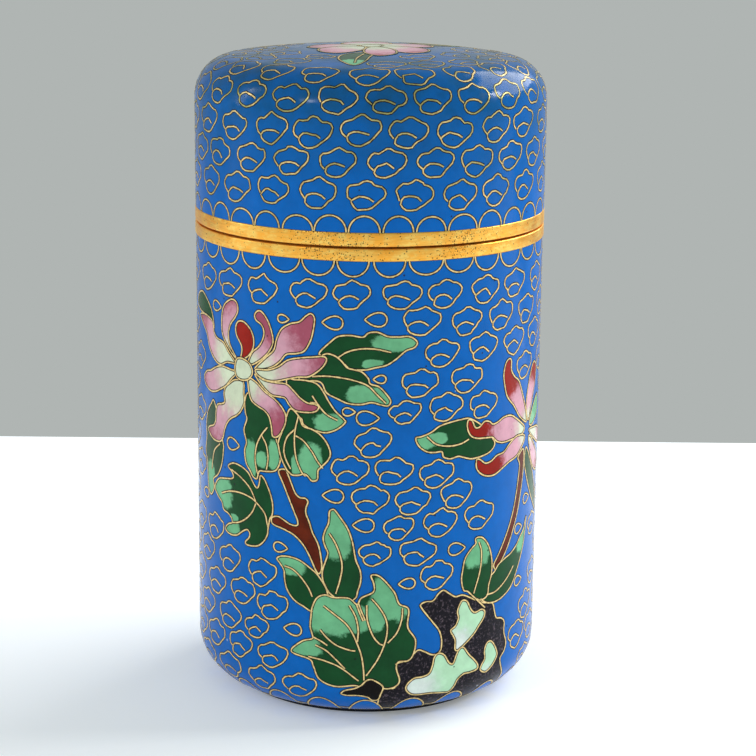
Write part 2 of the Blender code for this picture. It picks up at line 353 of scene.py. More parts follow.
BLOOM = (
    ("petal", (-21.5, 52.4, -23.5, 52.2, -25.5, 51.5, -27.5, 52.2, -29, 53.6, -29.9, 55.3, -31.5, 56.4, -33,
     57.5, -31, 58, -29, 57.9, -27.7, 57.4, -27.2, 56, -26.2, 55.3, -24.5, 55, -23.2, 53.9, -22, 53), (-20,
     51.8, 0.9)),
    ("petal", (-21, 51.3, -22.5, 51.3, -24.8, 51.4, -26.6, 50.9, -28.5, 50, -30, 49.6, -31.3, 48.5, -30.5,
     47.4, -28.6, 46.9, -26.8, 47.2, -25.2, 47.9, -23.9, 48.6, -22.6, 49.8, -21.5, 50.7), (-20, 51.8, 0.8)),
    ("petal", (-18.8, 50.8, -17.3, 50.4, -15.6, 49.2, -14, 48.4, -12.8, 47.4, -12.1, 46.2, -12.2, 44.9,
     -12.9, 43.5, -13.6, 42.8, -14.3, 42.9, -14.5, 44.2, -14.9, 45.6, -15.7, 46.4, -17, 46.9, -18.1, 47.5,
     -18.6, 48.6, -18.8, 49.8), (-20, 51.8, 1.05)),
    ("petal", (-19.8, 50, -19.7, 48.3, -19.6, 47, -20.3, 45.6, -21.3, 44.7, -22.6, 44, -23.6, 43.1, -24.3,
     41.9, -24.7, 40.7, -25.5, 39.9, -27, 39.7, -28.4, 40, -29.6, 40.8, -29, 41.4, -27.6, 41.9, -26.9, 42.8,
     -26.8, 44, -26.3, 45.3, -25, 45.7, -24.2, 46.2, -24.4, 47.3, -24, 48.4, -22.8, 49.3, -21.5, 50), (-20,
     51.8, 0.85)),
    ("petal", (-17.5, 51.5, -15.8, 50.9, -13.8, 50.8, -12, 50.8, -10.9, 50, -9.8, 49, -8.7, 48.4, -7.6,
     48.3, -7, 47.9, -7.6, 47.2, -9, 47, -10.6, 47.1, -11.6, 47.9, -12.2, 48.7, -13.2, 48.8, -14.5, 48.9,
     -16, 49.9), (-20, 51.8, 1.0)),
    ("petal", (-18.8, 53, -18, 54.6, -16.8, 55.6, -16, 56.8, -15.8, 58, -16.3, 58.9, -17.2, 59.4, -17.5,
     60.1, -16.9, 60.8, -16.1, 60.7, -15.1, 59.6, -14.5, 58.2, -14.2, 56.8, -14.5, 55.8, -15.3, 54.7, -16.6,
     53.6, -18, 52.8), (-20, 51.8, 1.1)),
    ("petal", (-17.5, 52.3, -15.5, 54.2, -14.1, 55.5, -13.6, 57.2, -12.8, 58.7, -11.4, 59.6, -10, 60, -9,
     60.9, -8.2, 61.3, -7.7, 60.6, -7.9, 58.9, -8.3, 57.4, -9.2, 55.9, -10.4, 55.4, -12, 55.1, -13, 54,
     -14.3, 53, -16, 52.4), (-20, 51.8, 1.1)),
    ("petal", (-17.3, 52.2, -15, 52.5, -13.3, 53.2, -11.8, 54.3, -10, 54.8, -8, 55.1, -6.4, 55.3, -5.9,
     54.9, -6.3, 54, -7.3, 53, -8.6, 52.2, -10.2, 52, -12, 51.5, -13.7, 51, -15.3, 50.9, -16.9, 51.4), (-20,
     51.8, 0.9)),
    ("petal", (-21, 52.9, -23, 54.3, -24.6, 56, -24.9, 58, -24.6, 59.8, -23.8, 60.9, -22.3, 61.7, -21.2,
     61.4, -20.9, 60.3, -21.5, 59.2, -22.6, 58, -23.1, 56.6, -22.9, 55.2, -22, 54), (-20, 51.8, 0.85)),
    ("red_petal", (-20.5, 53, -20.1, 54.3, -20.2, 55.3, -21.2, 56.6, -21.4, 57.8, -20.8, 58.7, -19.6, 58.8,
     -18.3, 57.9, -17.7, 56.6, -17.8, 55.3, -18.5, 54.2, -19.6, 53.4), (-20, 46, 1.3)),
    ("petal", (-21.6, 51.6, -21.2, 53.1, -20, 53.4, -18.5, 52.9, -17.9, 51.7, -18.6, 50.6, -20, 50.2, -21.2,
     50.5), (-20, 51.8, 0.1)),
)

LOW_LEAVES = (
    ("leaf", (-5, 33, -5.4, 32.6, -5.5, 31, -6, 29.8, -6.3, 28.6, -6, 27.4, -5.6, 26.4, -6, 25, -6.4, 23.6,
     -6.3, 22.3, -5.6, 20.8, -4.8, 20, -3.2, 19, -1.6, 19.8, -1.2, 21, -0.8, 22.5, -0.9, 24, -1.5, 25.5,
     -1.8, 27, -2.1, 28.5, -2.7, 30.2, -3.6, 31.6, -4.6, 32.9), (-4.2, 29.8, 2, 4.2)),
    ("vein", (-5.4, 29.4, -4.5, 28, -3.8, 26.2, -3.5, 24.5, -3.8, 22.5, -4.4, 20.4), ()),
    ("leaf", (-13.6, 24.6, -12.8, 25.1, -11.4, 25.2, -9.9, 24.9, -8.5, 24.1, -7.2, 23.1, -6.3, 21.9, -5.7,
     20.7, -5.6, 18.8, -7.7, 17.4, -9.3, 18, -10.8, 18.8, -11.9, 20.2, -12.3, 21.8, -12.4, 23, -13, 23.9),
     (-11.3, 24, 2.3, 1.5)),
    ("vein", (-12.3, 23.7, -11, 23.4, -9.7, 22.4, -8.5, 20.9, -7.9, 19.6), ()),
)

ROCK = (
    ("rock", (2, 3.6, 2.3, 5.4, 3, 5.95, 4.4, 6.15, 4, 9, 4.9, 9.9, 6.2, 10.1, 7, 11, 7.8, 11.6, 8.8, 11.2,
     9.7, 10.7, 10.5, 10.6, 11.3, 11.2, 11.4, 12.8, 11, 14.2, 10.2, 15.3, 9.2, 16.6, 8.3, 17.8, 8, 18.5,
     8.8, 18.9, 9.9, 18.9, 10.8, 19.9, 11.6, 20.3, 12.5, 19.7, 13.6, 19, 15, 19, 17.3, 17.8, 19, 17, 20.8,
     16.5, 21.3, 15.2, 21.8, 14, 23, 13.6, 23.8, 12.8, 23.8, 11.2, 24.4, 9.4, 24, 8.2, 23, 7.3, 23.2, 6.2,
     24, 4.9, 24.6, 3.7, 25, 1, 25, -1.4, 20, -1.6, 14, -1.6, 8, -1.6, 2.2, -1.4), ()),
    ("lichen", (14.2, 17.3, 14.8, 18.2, 15.7, 17.9, 16.4, 16.6, 17.2, 15.9, 18.5, 16.1, 19.2, 15.6, 19,
     14.7, 18, 13.6, 17.2, 12.7, 16.2, 11.9, 15.2, 11.2, 14.2, 10.6, 13.7, 10.9, 13.7, 12.2, 13.4, 12.9,
     12.9, 13.9, 13.7, 14.5, 14.2, 15.6, 14, 16.5), (14, 11, 0.8)),
    ("lichen", (6, 5.6, 6.2, 6.5, 7.2, 7.3, 8.5, 7.4, 9.5, 7.8, 10, 8.9, 10.3, 10.2, 11, 10.7, 11.9, 10.3,
     12.7, 9, 13.4, 8.7, 13.9, 9.8, 14.4, 10.7, 15.2, 10.9, 16.2, 9.6, 17.4, 8.4, 18, 7.5, 17.8, 6.9, 16.5,
     6.7, 15.3, 6.7, 14.3, 6, 13.9, 4.95, 13.2, 3.95, 12, 4.05, 10, 4.35, 8, 4.35, 6.8, 4.65), (7.5, 5.3,
     1)),
    ("lichen", (18.5, 6.7, 18.8, 7.4, 19.4, 8.2, 19.3, 9.4, 19.8, 10.5, 20.7, 10.6, 21.6, 9.6, 22.2, 8.2,
     21.7, 7.3, 20.8, 6.45, 19.8, 5.95, 19, 6.2), (20, 4.5, 0.9)),
)

BIG_LEAF = (
    ("leaf", (-8.2, 15, -8.1, 16.5, -7.9, 18, -7.2, 19.5, -6, 20.1, -4.7, 19.8, -2.5, 19.8, -1.3, 18.9,
     -0.7, 19.9, 1, 20.8, 1.1, 22, 0.7, 23.3, 2, 23.1, 4, 20.8, 4.8, 18.9, 6.2, 18, 6.1, 15.3, 7.3, 13.2, 7,
     11, 6.2, 10.1, 4.8, 10, 4.5, 9, 5, 7.1, 4.3, 6.15, 3, 5.9, 2.2, 6.3, 1, 7.25, 0, 7.1, -0.8, 6.35, -1.7,
     6.45, -4.5, 6.15, -6.8, 7.1, -7.7, 9, -8.3, 10, -11.2, 10.8, -9.5, 12.6, -7.9, 13.2, -7.9, 13.9),
     (-4.9, 17.3, 3.5, 3.3, 3.7, 20, 2.8, 3.6, 1.4, 17.2, 1.4, 2.4, -9.2, 11.9, 2.7, 1.5, -1.4, 16.6, 1.6,
     2)),
    ("vein", (-7.8, 13.5, -6.6, 13, -5.6, 12.4), ()),
    ("vein", (-6.2, 18.4, -4.8, 17.4, -3, 16, -2, 14.6, -1.2, 12.8, -0.6, 11, -0.3, 9, -0.2, 7.3), ()),
    ("vein", (-2.4, 18.7, -1.5, 17, -1.1, 15, -1.2, 13.2), ()),
    ("vein", (0.8, 19.8, 2, 18.3, 2.9, 16.6, 3.1, 14.8, 2.7, 12.8, 1.8, 10.6, 0.8, 9, 0.1, 8), ()),
    ("vein", (0.1, 18.8, 0.2, 16.5, 1, 14.2, 1.9, 13, 2.5, 12.7), ()),
    ("vein", (5.3, 18.2, 5.2, 16.5, 4.5, 14.5, 3.2, 13), ()),
    ("vein", (-6.7, 14.7, -5.6, 13.5, -4.2, 12.5, -2.4, 11.9, -1.5, 11.8), ()),
    ("vein", (-7.4, 12.3, -5.8, 11.6, -4.4, 10.4, -3, 9), ()),
    ("vein", (-8.5, 10.4, -6, 10, -3.6, 9.1, -1, 7.2), ()),
    ("vein", (-1.4, 19, -0.9, 17.6, -0.4, 16.4), ()),
    ("vein", (-1.1, 19.1, -0.6, 17.7, -0.1, 16.5), ()),
)

ROOT = (
    ("root", (-3.5, 5.15, -2.9, 5.6, -1.6, 5.95, -0.6, 6.5, 0, 7.15, 0.7, 7.45, 1.5, 7.15, 2.4, 6.5, 2.6,
    5.95,
              2.3, 5, 1.9, 3.8, 1, 3.75, 0.3, 4.4, -1.2, 4.7, -2.6, 4.65, -3.5, 4.85), ()),
)

RIGHT_LEAVES = (
    ("leaf", (29.5, 38.5, 31.5, 36, 33.5, 33, 35, 30, 36, 27, 33, 29.5, 31, 32, 29.6, 34.5, 28.9, 36.5),
     ()),
    ("bark", (26.6, 37.6, 27.2, 36.4, 26.8, 34, 26.2, 31.5, 25.4, 29.3, 24.3, 27.2, 23, 25.2, 21.8, 23.6,
     20.9, 22.4, 21.4, 21.6, 22.4, 22.4, 23.4, 23.4, 24.6, 25, 25.8, 27, 26.8, 29, 27.5, 31, 28.2, 33.5,
     28.6, 36, 28.4, 38.5), ()),
    ("leaf", (17, 19, 18, 18, 19.5, 16.9, 21.5, 16.6, 23.5, 17, 25.5, 18, 27, 19.8, 28.5, 22, 29.5, 24,
     30.3, 27.5, 29.2, 25.8, 28, 25, 26.8, 24, 25.2, 23.2, 23.6, 22.8, 22, 22.2, 20.9, 21.2, 19, 20.4), (29,
     25, 2.2, 2.6)),
    ("vein", (17.8, 17.8, 19.5, 18.1, 21.5, 18.2, 24, 19.4, 26, 21), ()),
    ("leaf", (17.6, 27.4, 17, 27.2, 17.1, 26.5, 16.2, 25.8, 15.2, 24.6, 14.8, 23, 14.6, 21.4, 15, 19.8,
     15.8, 19.4, 16.8, 18.4, 18.2, 17.6, 19.6, 18, 19.9, 19.6, 20.4, 21, 20.5, 22.8, 20.2, 24.4, 19.6, 25.8,
     18.6, 27), (17.4, 25.6, 2.6, 2.8)),
    ("vein", (17.7, 26.6, 18.2, 25.2, 18.2, 23.2, 17.8, 21.4, 17.2, 19.8, 16.9, 18.9), ()),
    ("vein", (15.8, 19.4, 17.5, 17.8, 19.2, 16.2), ()),
    ("leaf", (6.9, 43.5, 7.8, 43.7, 9.2, 44.2, 10.5, 45, 12.2, 45.4, 14, 45.6, 15.6, 45.5, 18, 44, 20, 41.9,
     20.5, 40.9, 19.6, 40, 18, 39.6, 16, 39.5, 14.6, 39.9, 13.6, 40.2, 12.3, 40, 11.2, 40.4, 10.9, 41.2,
     9.8, 41.2, 8.6, 41.4, 7.4, 42.3), (8, 43, 1.8, 1.3, 10.4, 43.2, 1.3, 0.9)),
    ("vein", (8.6, 43.6, 10, 42.4, 12, 41.9, 14, 42, 15.4, 42.5), ()),
)

RIGHT_BLOOM = (
    ("mint_petal", (30.6, 42, 31.5, 43.5, 33, 44.8, 34.8, 45.5, 35.6, 44.2, 35, 42.6, 33, 41.7, 31.5, 41.4),
     ()),
    ("scarlet", (29.7, 42.8, 29, 45, 29.6, 47.5, 30.5, 49.5, 32, 51, 33.5, 50.2, 33.3, 48, 32.2, 46, 31, 44,
     30.4, 42.8), (30, 41.3, 0.9)),
    ("scarlet", (30.5, 41, 33, 40.8, 36, 40.2, 38.5, 39, 39, 37.6, 36.5, 37.6, 34, 38.6, 31.8, 39.8), (30,
     41.3, 0.5)),
    ("scarlet", (30.4, 39.8, 31.2, 37.5, 32.2, 35.6, 34, 34, 36, 33.6, 36.6, 35, 35, 36.8, 33, 38.4, 31.3,
     39.8), (30, 41.3, 0.8)),
    ("scarlet", (29, 42.5, 26.8, 43.8, 25, 45.8, 23.2, 47.5, 22.5, 49.3, 22.2, 51, 22.6, 52.5, 23.3, 53.1,
     24, 52.8, 24.1, 51.3, 25, 50.2, 26.2, 49.4, 27, 48.2, 27.9, 46.5, 28.8, 44.6, 29.3, 43), (30, 41.3,
     1.1)),
    ("scarlet", (28.6, 41.8, 27.6, 42.6, 26, 43.6, 24.3, 44.5, 22.5, 44.6, 21, 44.1, 20, 44, 19.3, 44.5,
     18.3, 44.7, 17.3, 44, 16.5, 44.1, 15.9, 45.2, 15.2, 45.3, 15.1, 44.2, 15.7, 43, 16.9, 42.4, 18.6, 42.2,
     20, 42, 21, 41.2, 22.5, 40.8, 24.5, 40.8, 26.5, 40.9, 28, 41), (30, 41.3, 1.0)),
    ("scarlet", (28.5, 40.6, 26, 41, 24, 40.2, 22.6, 39.3, 21, 39.1, 19.8, 38.5, 18.6, 38.4, 17.6, 39.1,
     16.9, 39.2, 16.9, 38, 17.7, 37, 19, 36.4, 20.6, 36.3, 22.3, 36.9, 24, 37.5, 26, 37.9, 27.5, 38.8, 28.6,
     39.8), (30, 41.3, 1.1)),
)

# The lid's flower and leaf, in millimetres right of and behind the middle of the lid
LID_SPRAY = (
    ("leaf", (-1, -9, -3.6, -10.5, -4.6, -13, -4.2, -16, -2.4, -19, -0.9, -16.4, -0.2, -13, 0.4, -10),
     (-2.6, -17.4, 1.8, 2.4)),
    ("vein", (-1, -10.5, -2, -14, -2.3, -17.5), ()),
    ("leaf", (6, 3, 9, 3.5, 12, 6, 13.6, 9.5, 10.5, 9.6, 7.5, 8.4, 5.5, 6), (12, 8.6, 2, 1.6)),
    ("vein", (6.5, 4.5, 9.5, 6.2, 12, 8.4), ()),
    ("petal", (-1, 0, -3.5, 1.5, -4.4, 5, -2.5, 8, 0.5, 8.6, 2.8, 6, 2.4, 2.5), (0, -1, 0.8)),
    ("petal", (1, 0.5, 3.6, 4.2, 6.8, 5.2, 9, 3, 8.4, 0, 5, -1.6, 2, -1), (0, -1, 0.85)),
    ("petal", (-2, 0, -5.6, 2.6, -8.6, 1.6, -9.2, -1.6, -6.8, -3.4, -3, -2.6), (0, -1, 0.85)),
    ("petal", (-1.5, -2, -5, -1.8, -7.5, -4, -7.2, -7.6, -4.6, -9.5, -1.8, -7.4, -0.8, -4), (0, -1, 0.8)),
    ("petal", (1.6, -1.4, 5, -1, 8, -2.8, 8.2, -6, 6, -8.5, 3, -7.2, 1.4, -4), (0, -1, 0.85)),
    ("petal", (0, -2.6, -1, -6, -0.8, -9.8, 1.2, -12, 3.4, -10, 3.5, -6.4, 2, -3.4), (0, -1, 0.9)),
    ("petal", (-1.6, -0.8, -0.8, 0.5, 0.8, 0.5, 1.7, -0.7, 1.2, -2.2, -0.2, -2.7, -1.4, -2), (0, -1, 0.1)),
)

# Small closed drops that fill odd gaps: place, size, and the way that they point
DROPS = (
    (-5.1, 60.2, 1.15, 180), (1, 60.8, 1.2, 180), (0, 46.6, 1.25, 0), (-4.9, 35, 1.2, 180),
    (-22.2, 40.2, 1.1, 0),
    (-0.5, 30.8, 1.2, 180), (5.9, 21.9, 0.95, 180), (13.7, 26.3, 1.1, 0), (-11, 14.2, 1.1, 180),
)

# One cloud loop about its own middle: up its left side, over three lobes, down and into the curl
CLOUD = pairs((
    -2, -0.85, -2.5, -0.3, -2.65, 0.35, -2.4, 0.95, -1.9, 1.35, -1.2, 1.4, -0.7, 1.6, -0.25, 1.95, 0.3, 2.05,
    0.8, 1.8, 1.25, 1.45, 1.8, 1.35, 2.4, 1.1, 2.65, 0.5, 2.5, -0.15, 2.1, -0.6, 1.6, -1, 1, -1.55, 0.5,
    -1.95,
    -0.3, -2.1, -1.1, -2, -1.75, -1.6, -1.9, -1, -1.55, -0.5, -0.9, -0.2, -0.2, -0.2, 0.5, -0.4, 1.15, -0.75,
))

class Cell:
    """One cell of enamel or one free wire, placed on the unrolled outside."""

    def __init__(self, kind, line, shade):
        self.kind = kind
        self.line = line
        self.shade = shade
        self.outline = flowing(line, kind != "vein", 0.3)
        self.layer = 0


def read_cells(entries, move=lambda points: points):
    """Cells from a run of entries, each point taken through move."""
    cells = []
    for kind, outline, shade in entries:
        numbers = np.array(shade, float)
        if kind == "leaf" and shade:
            patches = numbers.reshape(-1, 4).copy()
            patches[:, :2] = move(patches[:, :2])
            numbers = patches
        elif shade:
            numbers = np.concatenate([move(numbers[None, :2])[0], numbers[2:]])
        cells.append(Cell(kind, move(pairs(outline)), numbers))
    return cells


def stack_layers(cells):
    """Give each cell the layer above every earlier cell that it overlaps."""
    for place, cell in enumerate(cells):
        under = [
            other.layer + 1
            for other in cells[:place]
            if other.kind != "vein" and inside(cell.outline, other.outline).any()
        ]
        cell.layer = max(under, default=0)


def tone_of(cell, points):
    """How far each point is into the cell's second colour, 0.5 being the border.

    On a leaf it falls from 1 at the middle of a pale patch to 0.5 at its edge. On any other cell it
    is the distance from the flower's middle, as a share of the farthest point's distance.
    """
    if not len(cell.shade):
        return np.zeros(len(points))
    if cell.kind == "leaf":
        away = (points[:, None] - cell.shade[None, :, :2]) / cell.shade[None, :, 2:]
        return np.clip(1 - 0.5 * np.cbrt((np.abs(away) ** 3).sum(-1)).min(1), 0, 1)
    reach = np.hypot(*(cell.outline - cell.shade[:2]).T).max()
    return cell.shade[2] * np.hypot(*(points - cell.shade[:2]).T) / reach


class Builder:
    """Collects points, faces and one number per point, and makes them into one mesh."""

    def __init__(self):
        self.points = []
        self.faces = []
        self.values = []
        self.count = 0

    def add(self, points, faces, values):
        """Add one closed shape. faces is a list of arrays, each with its own number of corners."""
        self.points.append(points)
        self.values.append(values)
        self.faces += [block + self.count for block in faces]
        self.count += len(points)

    def mesh(self, name, value_name):
        """The mesh of all shapes added so far."""
        faces = [face for block in self.faces for face in block.tolist()]
        mesh = bpy.data.meshes.new(name)
        mesh.from_pydata(np.concatenate(self.points), [], faces)
        layer = mesh.attributes.new(value_name, "FLOAT", "POINT")
        layer.data.foreach_set("value", np.concatenate(self.values).astype(np.float32))
        return mesh


def add_cell(builder, sizes, cell, to_wall):
    """Add a cell as a thin closed slab that follows the wall.

    Its outline is filled with triangles over a regular grid of points inside it. No grid of two
    parameters follows a lobed outline, so the triangles join the grid to the outline. The upper
    side lies above the wall by the cell's layer, the lower one inside the wall.
    """
    outline = cell.outline
    low, high = outline.min(0), outline.max(0)
    across, upward = (np.arange(low[axis], high[axis], FILL_STEP) for axis in (0, 1))
    grid = np.stack(np.meshgrid(across, upward), -1)
    grid[1::2, :, 0] += FILL_STEP / 2
    grid = grid.reshape(-1, 2)
    grid = grid[inside(grid, outline)]
    grid = grid[nearest(grid, outline) > FILL_MARGIN]
    flat = np.concatenate([outline, grid])
    edge = list(range(len(outline)))
    flat, _, faces, _, _, _ = delaunay_2d_cdt(flat.tolist(), [], [edge], 1, 1e-6)
    flat, faces = np.array(flat, float), np.array(faces)
    lift = sizes.cell_rise + cell.layer * sizes.layer_step
    point, normal = wall(sizes, *to_wall(flat))
    count = len(flat)
    sides = np.concatenate([faces[:, [0, 1]], faces[:, [1, 2]], faces[:, [2, 0]]])
    _, first, seen = np.unique(np.sort(sides, 1), axis=0, return_index=True, return_counts=True)
    rim = sides[first[seen == 1]]
    skirt = np.column_stack([rim[:, 1], rim[:, 0], rim[:, 0] + count, rim[:, 1] + count])
    points = np.concatenate([point + normal * lift, point - normal * sizes.cell_depth])
    tone = tone_of(cell, flat)
    builder.add(points, [faces, faces[:, ::-1] + count, skirt], np.concatenate([tone, tone]))


def add_wire(builder, sizes, line, closed, to_wall, lift):
    """Add a wire laid along a line on the wall.

    Its section is a flat triangle, left edge, ridge and right edge, carried along the line: the
    edges lie half the width to each side, square to the line and to the wall's normal, and the
    ridge stands above them. The number kept is 0 on the ridge and 1 on the edges.
    """
    centre, normal = wall(sizes, *to_wall(line))
    ahead = np.roll(centre, -1, 0) - np.roll(centre, 1, 0)
    if not closed:
        ahead[0] = centre[1] - centre[0]
        ahead[-1] = centre[-1] - centre[-2]
    across = np.cross(ahead, normal)
    across *= sizes.wire_width / 2 / np.linalg.norm(across, axis=1, keepdims=True)
    base = centre + normal * lift
    section = np.stack([base - across, base + normal * sizes.wire_rise, base + across], 1)
    count = len(line)
    ring = np.arange(count * 3).reshape(count, 3)
    start, end = (ring, np.roll(ring, -1, 0)) if closed else (ring[:-1], ring[1:])
    faces = np.stack([start, np.roll(start, -1, 1), np.roll(end, -1, 1), end], -1).reshape(-1, 4)
    blocks = [faces]
    if not closed:
        blocks += [ring[:1][:, [0, 2, 1]], ring[-1:]]
    builder.add(section.reshape(-1, 3), blocks, np.tile([1.0, 0.0, 1.0], count))


def open_runs(line, hidden, closed):
    """The stretches of a line that aren't hidden, each one point longer at either end."""
    if not hidden.any():
        return [(line, closed)]
    if hidden.all():
        return []
    if closed:
        first = int(np.argmax(hidden))
        line, hidden = np.roll(line, -first, 0), np.roll(hidden, -first)
        line, hidden = np.concatenate([line, line[:1]]), np.append(hidden, True)
    edges = np.flatnonzero(np.diff(np.concatenate([[True], hidden, [True]]).astype(int)))
    runs = []
    for start, end in edges.reshape(-1, 2):
        piece = line[max(start - 1, 0) : end + 1]
        if len(piece) > 3:
            runs.append((piece, False))
    return runs


def side_wall():
    """Turns unrolled millimetres into an angle round the box and a distance up it."""
    return lambda flat: (flat[:, 0] * MM / LID_RADIUS, flat[:, 1] * MM)


def top_wall(sizes):
    """Turns millimetres on the lid's top into an angle and a distance up, measured from the pole."""
    end, tilt = shoulder_line(sizes)[1:]
    pole = end + tilt * sizes.dome
    return lambda flat: (np.arctan2(flat[:, 0], -flat[:, 1]), pole - np.hypot(flat[:, 0], flat[:, 1]) * MM)


def finish_piece(name, mesh, materials, replaced=(), slot=None, crease=35):
    """Make an object of a mesh, shade it, and hang it on the box."""
    for material in materials:
        mesh.materials.append(material)
    mesh.validate()
    mesh.shade_smooth()
    mesh.set_sharp_from_angle(angle=math.radians(crease))
    piece = bpy.data.objects.new(name, mesh)
    bpy.context.scene.collection.objects.link(piece)
    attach(piece, "root")
    if replaced:
        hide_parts(*replaced)
    return piece


def turned_piece(sizes, name, profile, materials, closed=False, lined=(), **settings):
    """Turn a profile into a piece. lined gives the profile's stretches that take the second material."""
    points, faces = turned(np.asarray(profile), sizes.turn_steps, closed)
    stretch = np.repeat(np.arange(len(faces) // sizes.turn_steps), sizes.turn_steps)
    used, faces = np.unique(faces, return_inverse=True)
    faces = faces.reshape(-1, 4)
    points = points[used]
    corners = points[faces]
    size = np.einsum("ij,ij->", corners[:, 0], np.cross(corners[:, 1], corners[:, 2]))
    size += np.einsum("ij,ij->", corners[:, 0], np.cross(corners[:, 2], corners[:, 3]))
    if size < 0:
        faces = faces[:, ::-1]
    trimmed = [list(dict.fromkeys(face)) for face in faces.tolist()]
    mesh = bpy.data.meshes.new(name)
    mesh.from_pydata(points, [], trimmed)
    slots = np.zeros(len(faces), np.int32)
    for first, last in lined:
        slots[(stretch >= first) & (stretch < last)] = 1
    piece = finish_piece(name, mesh, materials, **settings)
    mesh.polygons.foreach_set("material_index", slots)
    return piece


def body_profile(sizes):
    """The cup: up the inner side from the floor's middle, over the mouth and down to the lip."""
    reach = BODY_RADIUS - sizes.base_fillet
    underside = FOOT_TOP + sizes.gap
    lip = FOOT_RADIUS + sizes.gap
    lean = -math.degrees(math.acos((lip - reach) / sizes.base_fillet))
    inner = arc((reach, underside + sizes.base_fillet), sizes.base_fillet - sizes.wall, -90, 0, 14)
    outer = arc((reach, sizes.base_low + sizes.base_fillet), sizes.base_fillet, 0, lean, 28)
    mouth = [(BODY_RADIUS - sizes.wall, BODY_MOUTH), (BODY_RADIUS, BODY_MOUTH)]
    floor = [(0.0, underside + sizes.wall)]
    return np.concatenate([floor, inner, mouth, outer, [(lip, underside), (0.0, underside)]])


def lid_skin(sizes, inset, steps):
    """One side of the cap, from the pole along the dome's arc and then the shoulder's arc."""
    start, _, tilt = shoulder_line(sizes)
    lean = 90 - math.degrees(tilt)
    dome = arc((0.0, TOTAL_HEIGHT - sizes.dome), sizes.dome - inset, 90, lean, steps)
    shoulder = arc((LID_RADIUS - sizes.shoulder, start), sizes.shoulder - inset, lean, 0, steps)
    dome[0, 0] = 0.0
    return np.concatenate([dome, shoulder[1:]])


def lid_profile(sizes):
    """The cap: down its outer side from the pole, round the mouth and up the inner side."""
    outer, inner = lid_skin(sizes, 0.0, 24), lid_skin(sizes, sizes.wall, 12)
    mouth = [(LID_RADIUS, LID_MOUTH), (LID_RADIUS - sizes.wall, LID_MOUTH)]
    return np.concatenate([outer, mouth, inner[::-1]])


def band_corner(sizes, height, start, end):
    """A quarter round on a band's outer edge, at a height and between two angles."""
    inward = -sizes.band_edge if end > 0 or start > 0 else sizes.band_edge
    return arc((BAND_RADIUS - sizes.band_edge, height + inward), sizes.band_edge, start, end, 5)


def body_rim_profile(sizes):
    """The body's band with its collar, a T on its side: down the outer side and up the inner one."""
    outer = BODY_RADIUS - sizes.wall - sizes.gap
    inner = outer - sizes.collar_wall
    seat = sizes.seam - sizes.gap / 2
    bottom = BODY_MOUTH + sizes.joint
    low = BODY_MOUTH + sizes.gap - sizes.collar_depth
    top = sizes.seam + sizes.collar_rise
    lip = arc((outer - sizes.band_edge, top - sizes.band_edge), sizes.band_edge, 90, 0, 5)
    return np.concatenate([
        lip, [(outer, seat)], band_corner(sizes, seat, 90, 0), band_corner(sizes, bottom, 0, -90),
        [(outer, bottom), (outer, low), (inner, low), (inner, top)],
    ])


def lid_rim_profile(sizes):
    """The lid's band: a flat ring with rounded outer edges, down the outer side."""
    top = LID_MOUTH - sizes.joint
    bottom = sizes.seam + sizes.gap / 2
    inner = BODY_RADIUS - sizes.wall
    corners = [band_corner(sizes, top, 90, 0), band_corner(sizes, bottom, 0, -90)]
    return np.concatenate(corners + [[(inner, bottom), (inner, top)]])


def foot_profile(sizes):
    """The foot: a low ring with a rounded lower edge, soldered inside the lip of the body."""
    reach = FOOT_RADIUS + sizes.gap - sizes.joint
    top = FOOT_TOP + sizes.gap - sizes.joint
    solder = [(reach, top), (reach, FOOT_TOP), (FOOT_RADIUS, FOOT_TOP - sizes.gap)]
    edge = arc((FOOT_RADIUS - sizes.band_edge, sizes.band_edge), sizes.band_edge, 0, -90, 5)
    inner = FOOT_RADIUS - sizes.foot_width
    return np.concatenate([solder, edge, [(inner, 0.0), (inner, top)]])


# Where the picture goes, in millimetres on the unrolled wall

ROUND = TURN * LID_RADIUS / MM
BACK = 81.5
BACK_FROM = -12.0
BACK_DROP = -2.0
ARCHES = 23
ARCH_SHIFT = 0.1
ARCH_HALF = 2.85
ARCH_FOOT = -0.7
ARCH_TOP = 3.7
LINK_HEIGHT = 1.2
CLEARANCE = 0.42
CLOUD_STEP = 0.85
CURL_CLOSING = (0.1, 0.15, -0.1, -0.05, -0.3, -0.05)
NUDGES = ((0, 0), (0.5, 0), (-0.5, 0), (0, 0.4), (0, -0.4), (1.1, 0), (-1.1, 0), (0.7, 0.7), (-0.7, -0.7))


def mirrored(points):
    """Carries the left spray round to the back of the box, turned left to right."""
    return np.column_stack([BACK - (points[:, 0] - BACK_FROM), points[:, 1] + BACK_DROP])


def body_cells():
    """Every cell of the body in the order it is laid, the later ones covering the earlier ones."""
    cells = read_cells(FAR_LEAVES) + read_cells(BRANCH) + read_cells(BLOOM) + read_cells(LOW_LEAVES)
    cells += read_cells(ROCK) + read_cells(BIG_LEAF) + read_cells(ROOT)
    cells += read_cells(RIGHT_LEAVES) + read_cells(RIGHT_BLOOM)
    for entries in (FAR_LEAVES[1:], BRANCH, BLOOM, LOW_LEAVES, BIG_LEAF, ROOT):
        cells += read_cells(entries, mirrored)
    link = np.column_stack([np.linspace(-ROUND / 2, ROUND / 2, 400), np.full(400, LINK_HEIGHT)])
    cells.append(Cell("vein", link, ()))
    cells += [Cell("arch", line, ()) for line in base_arches()]
    return cells


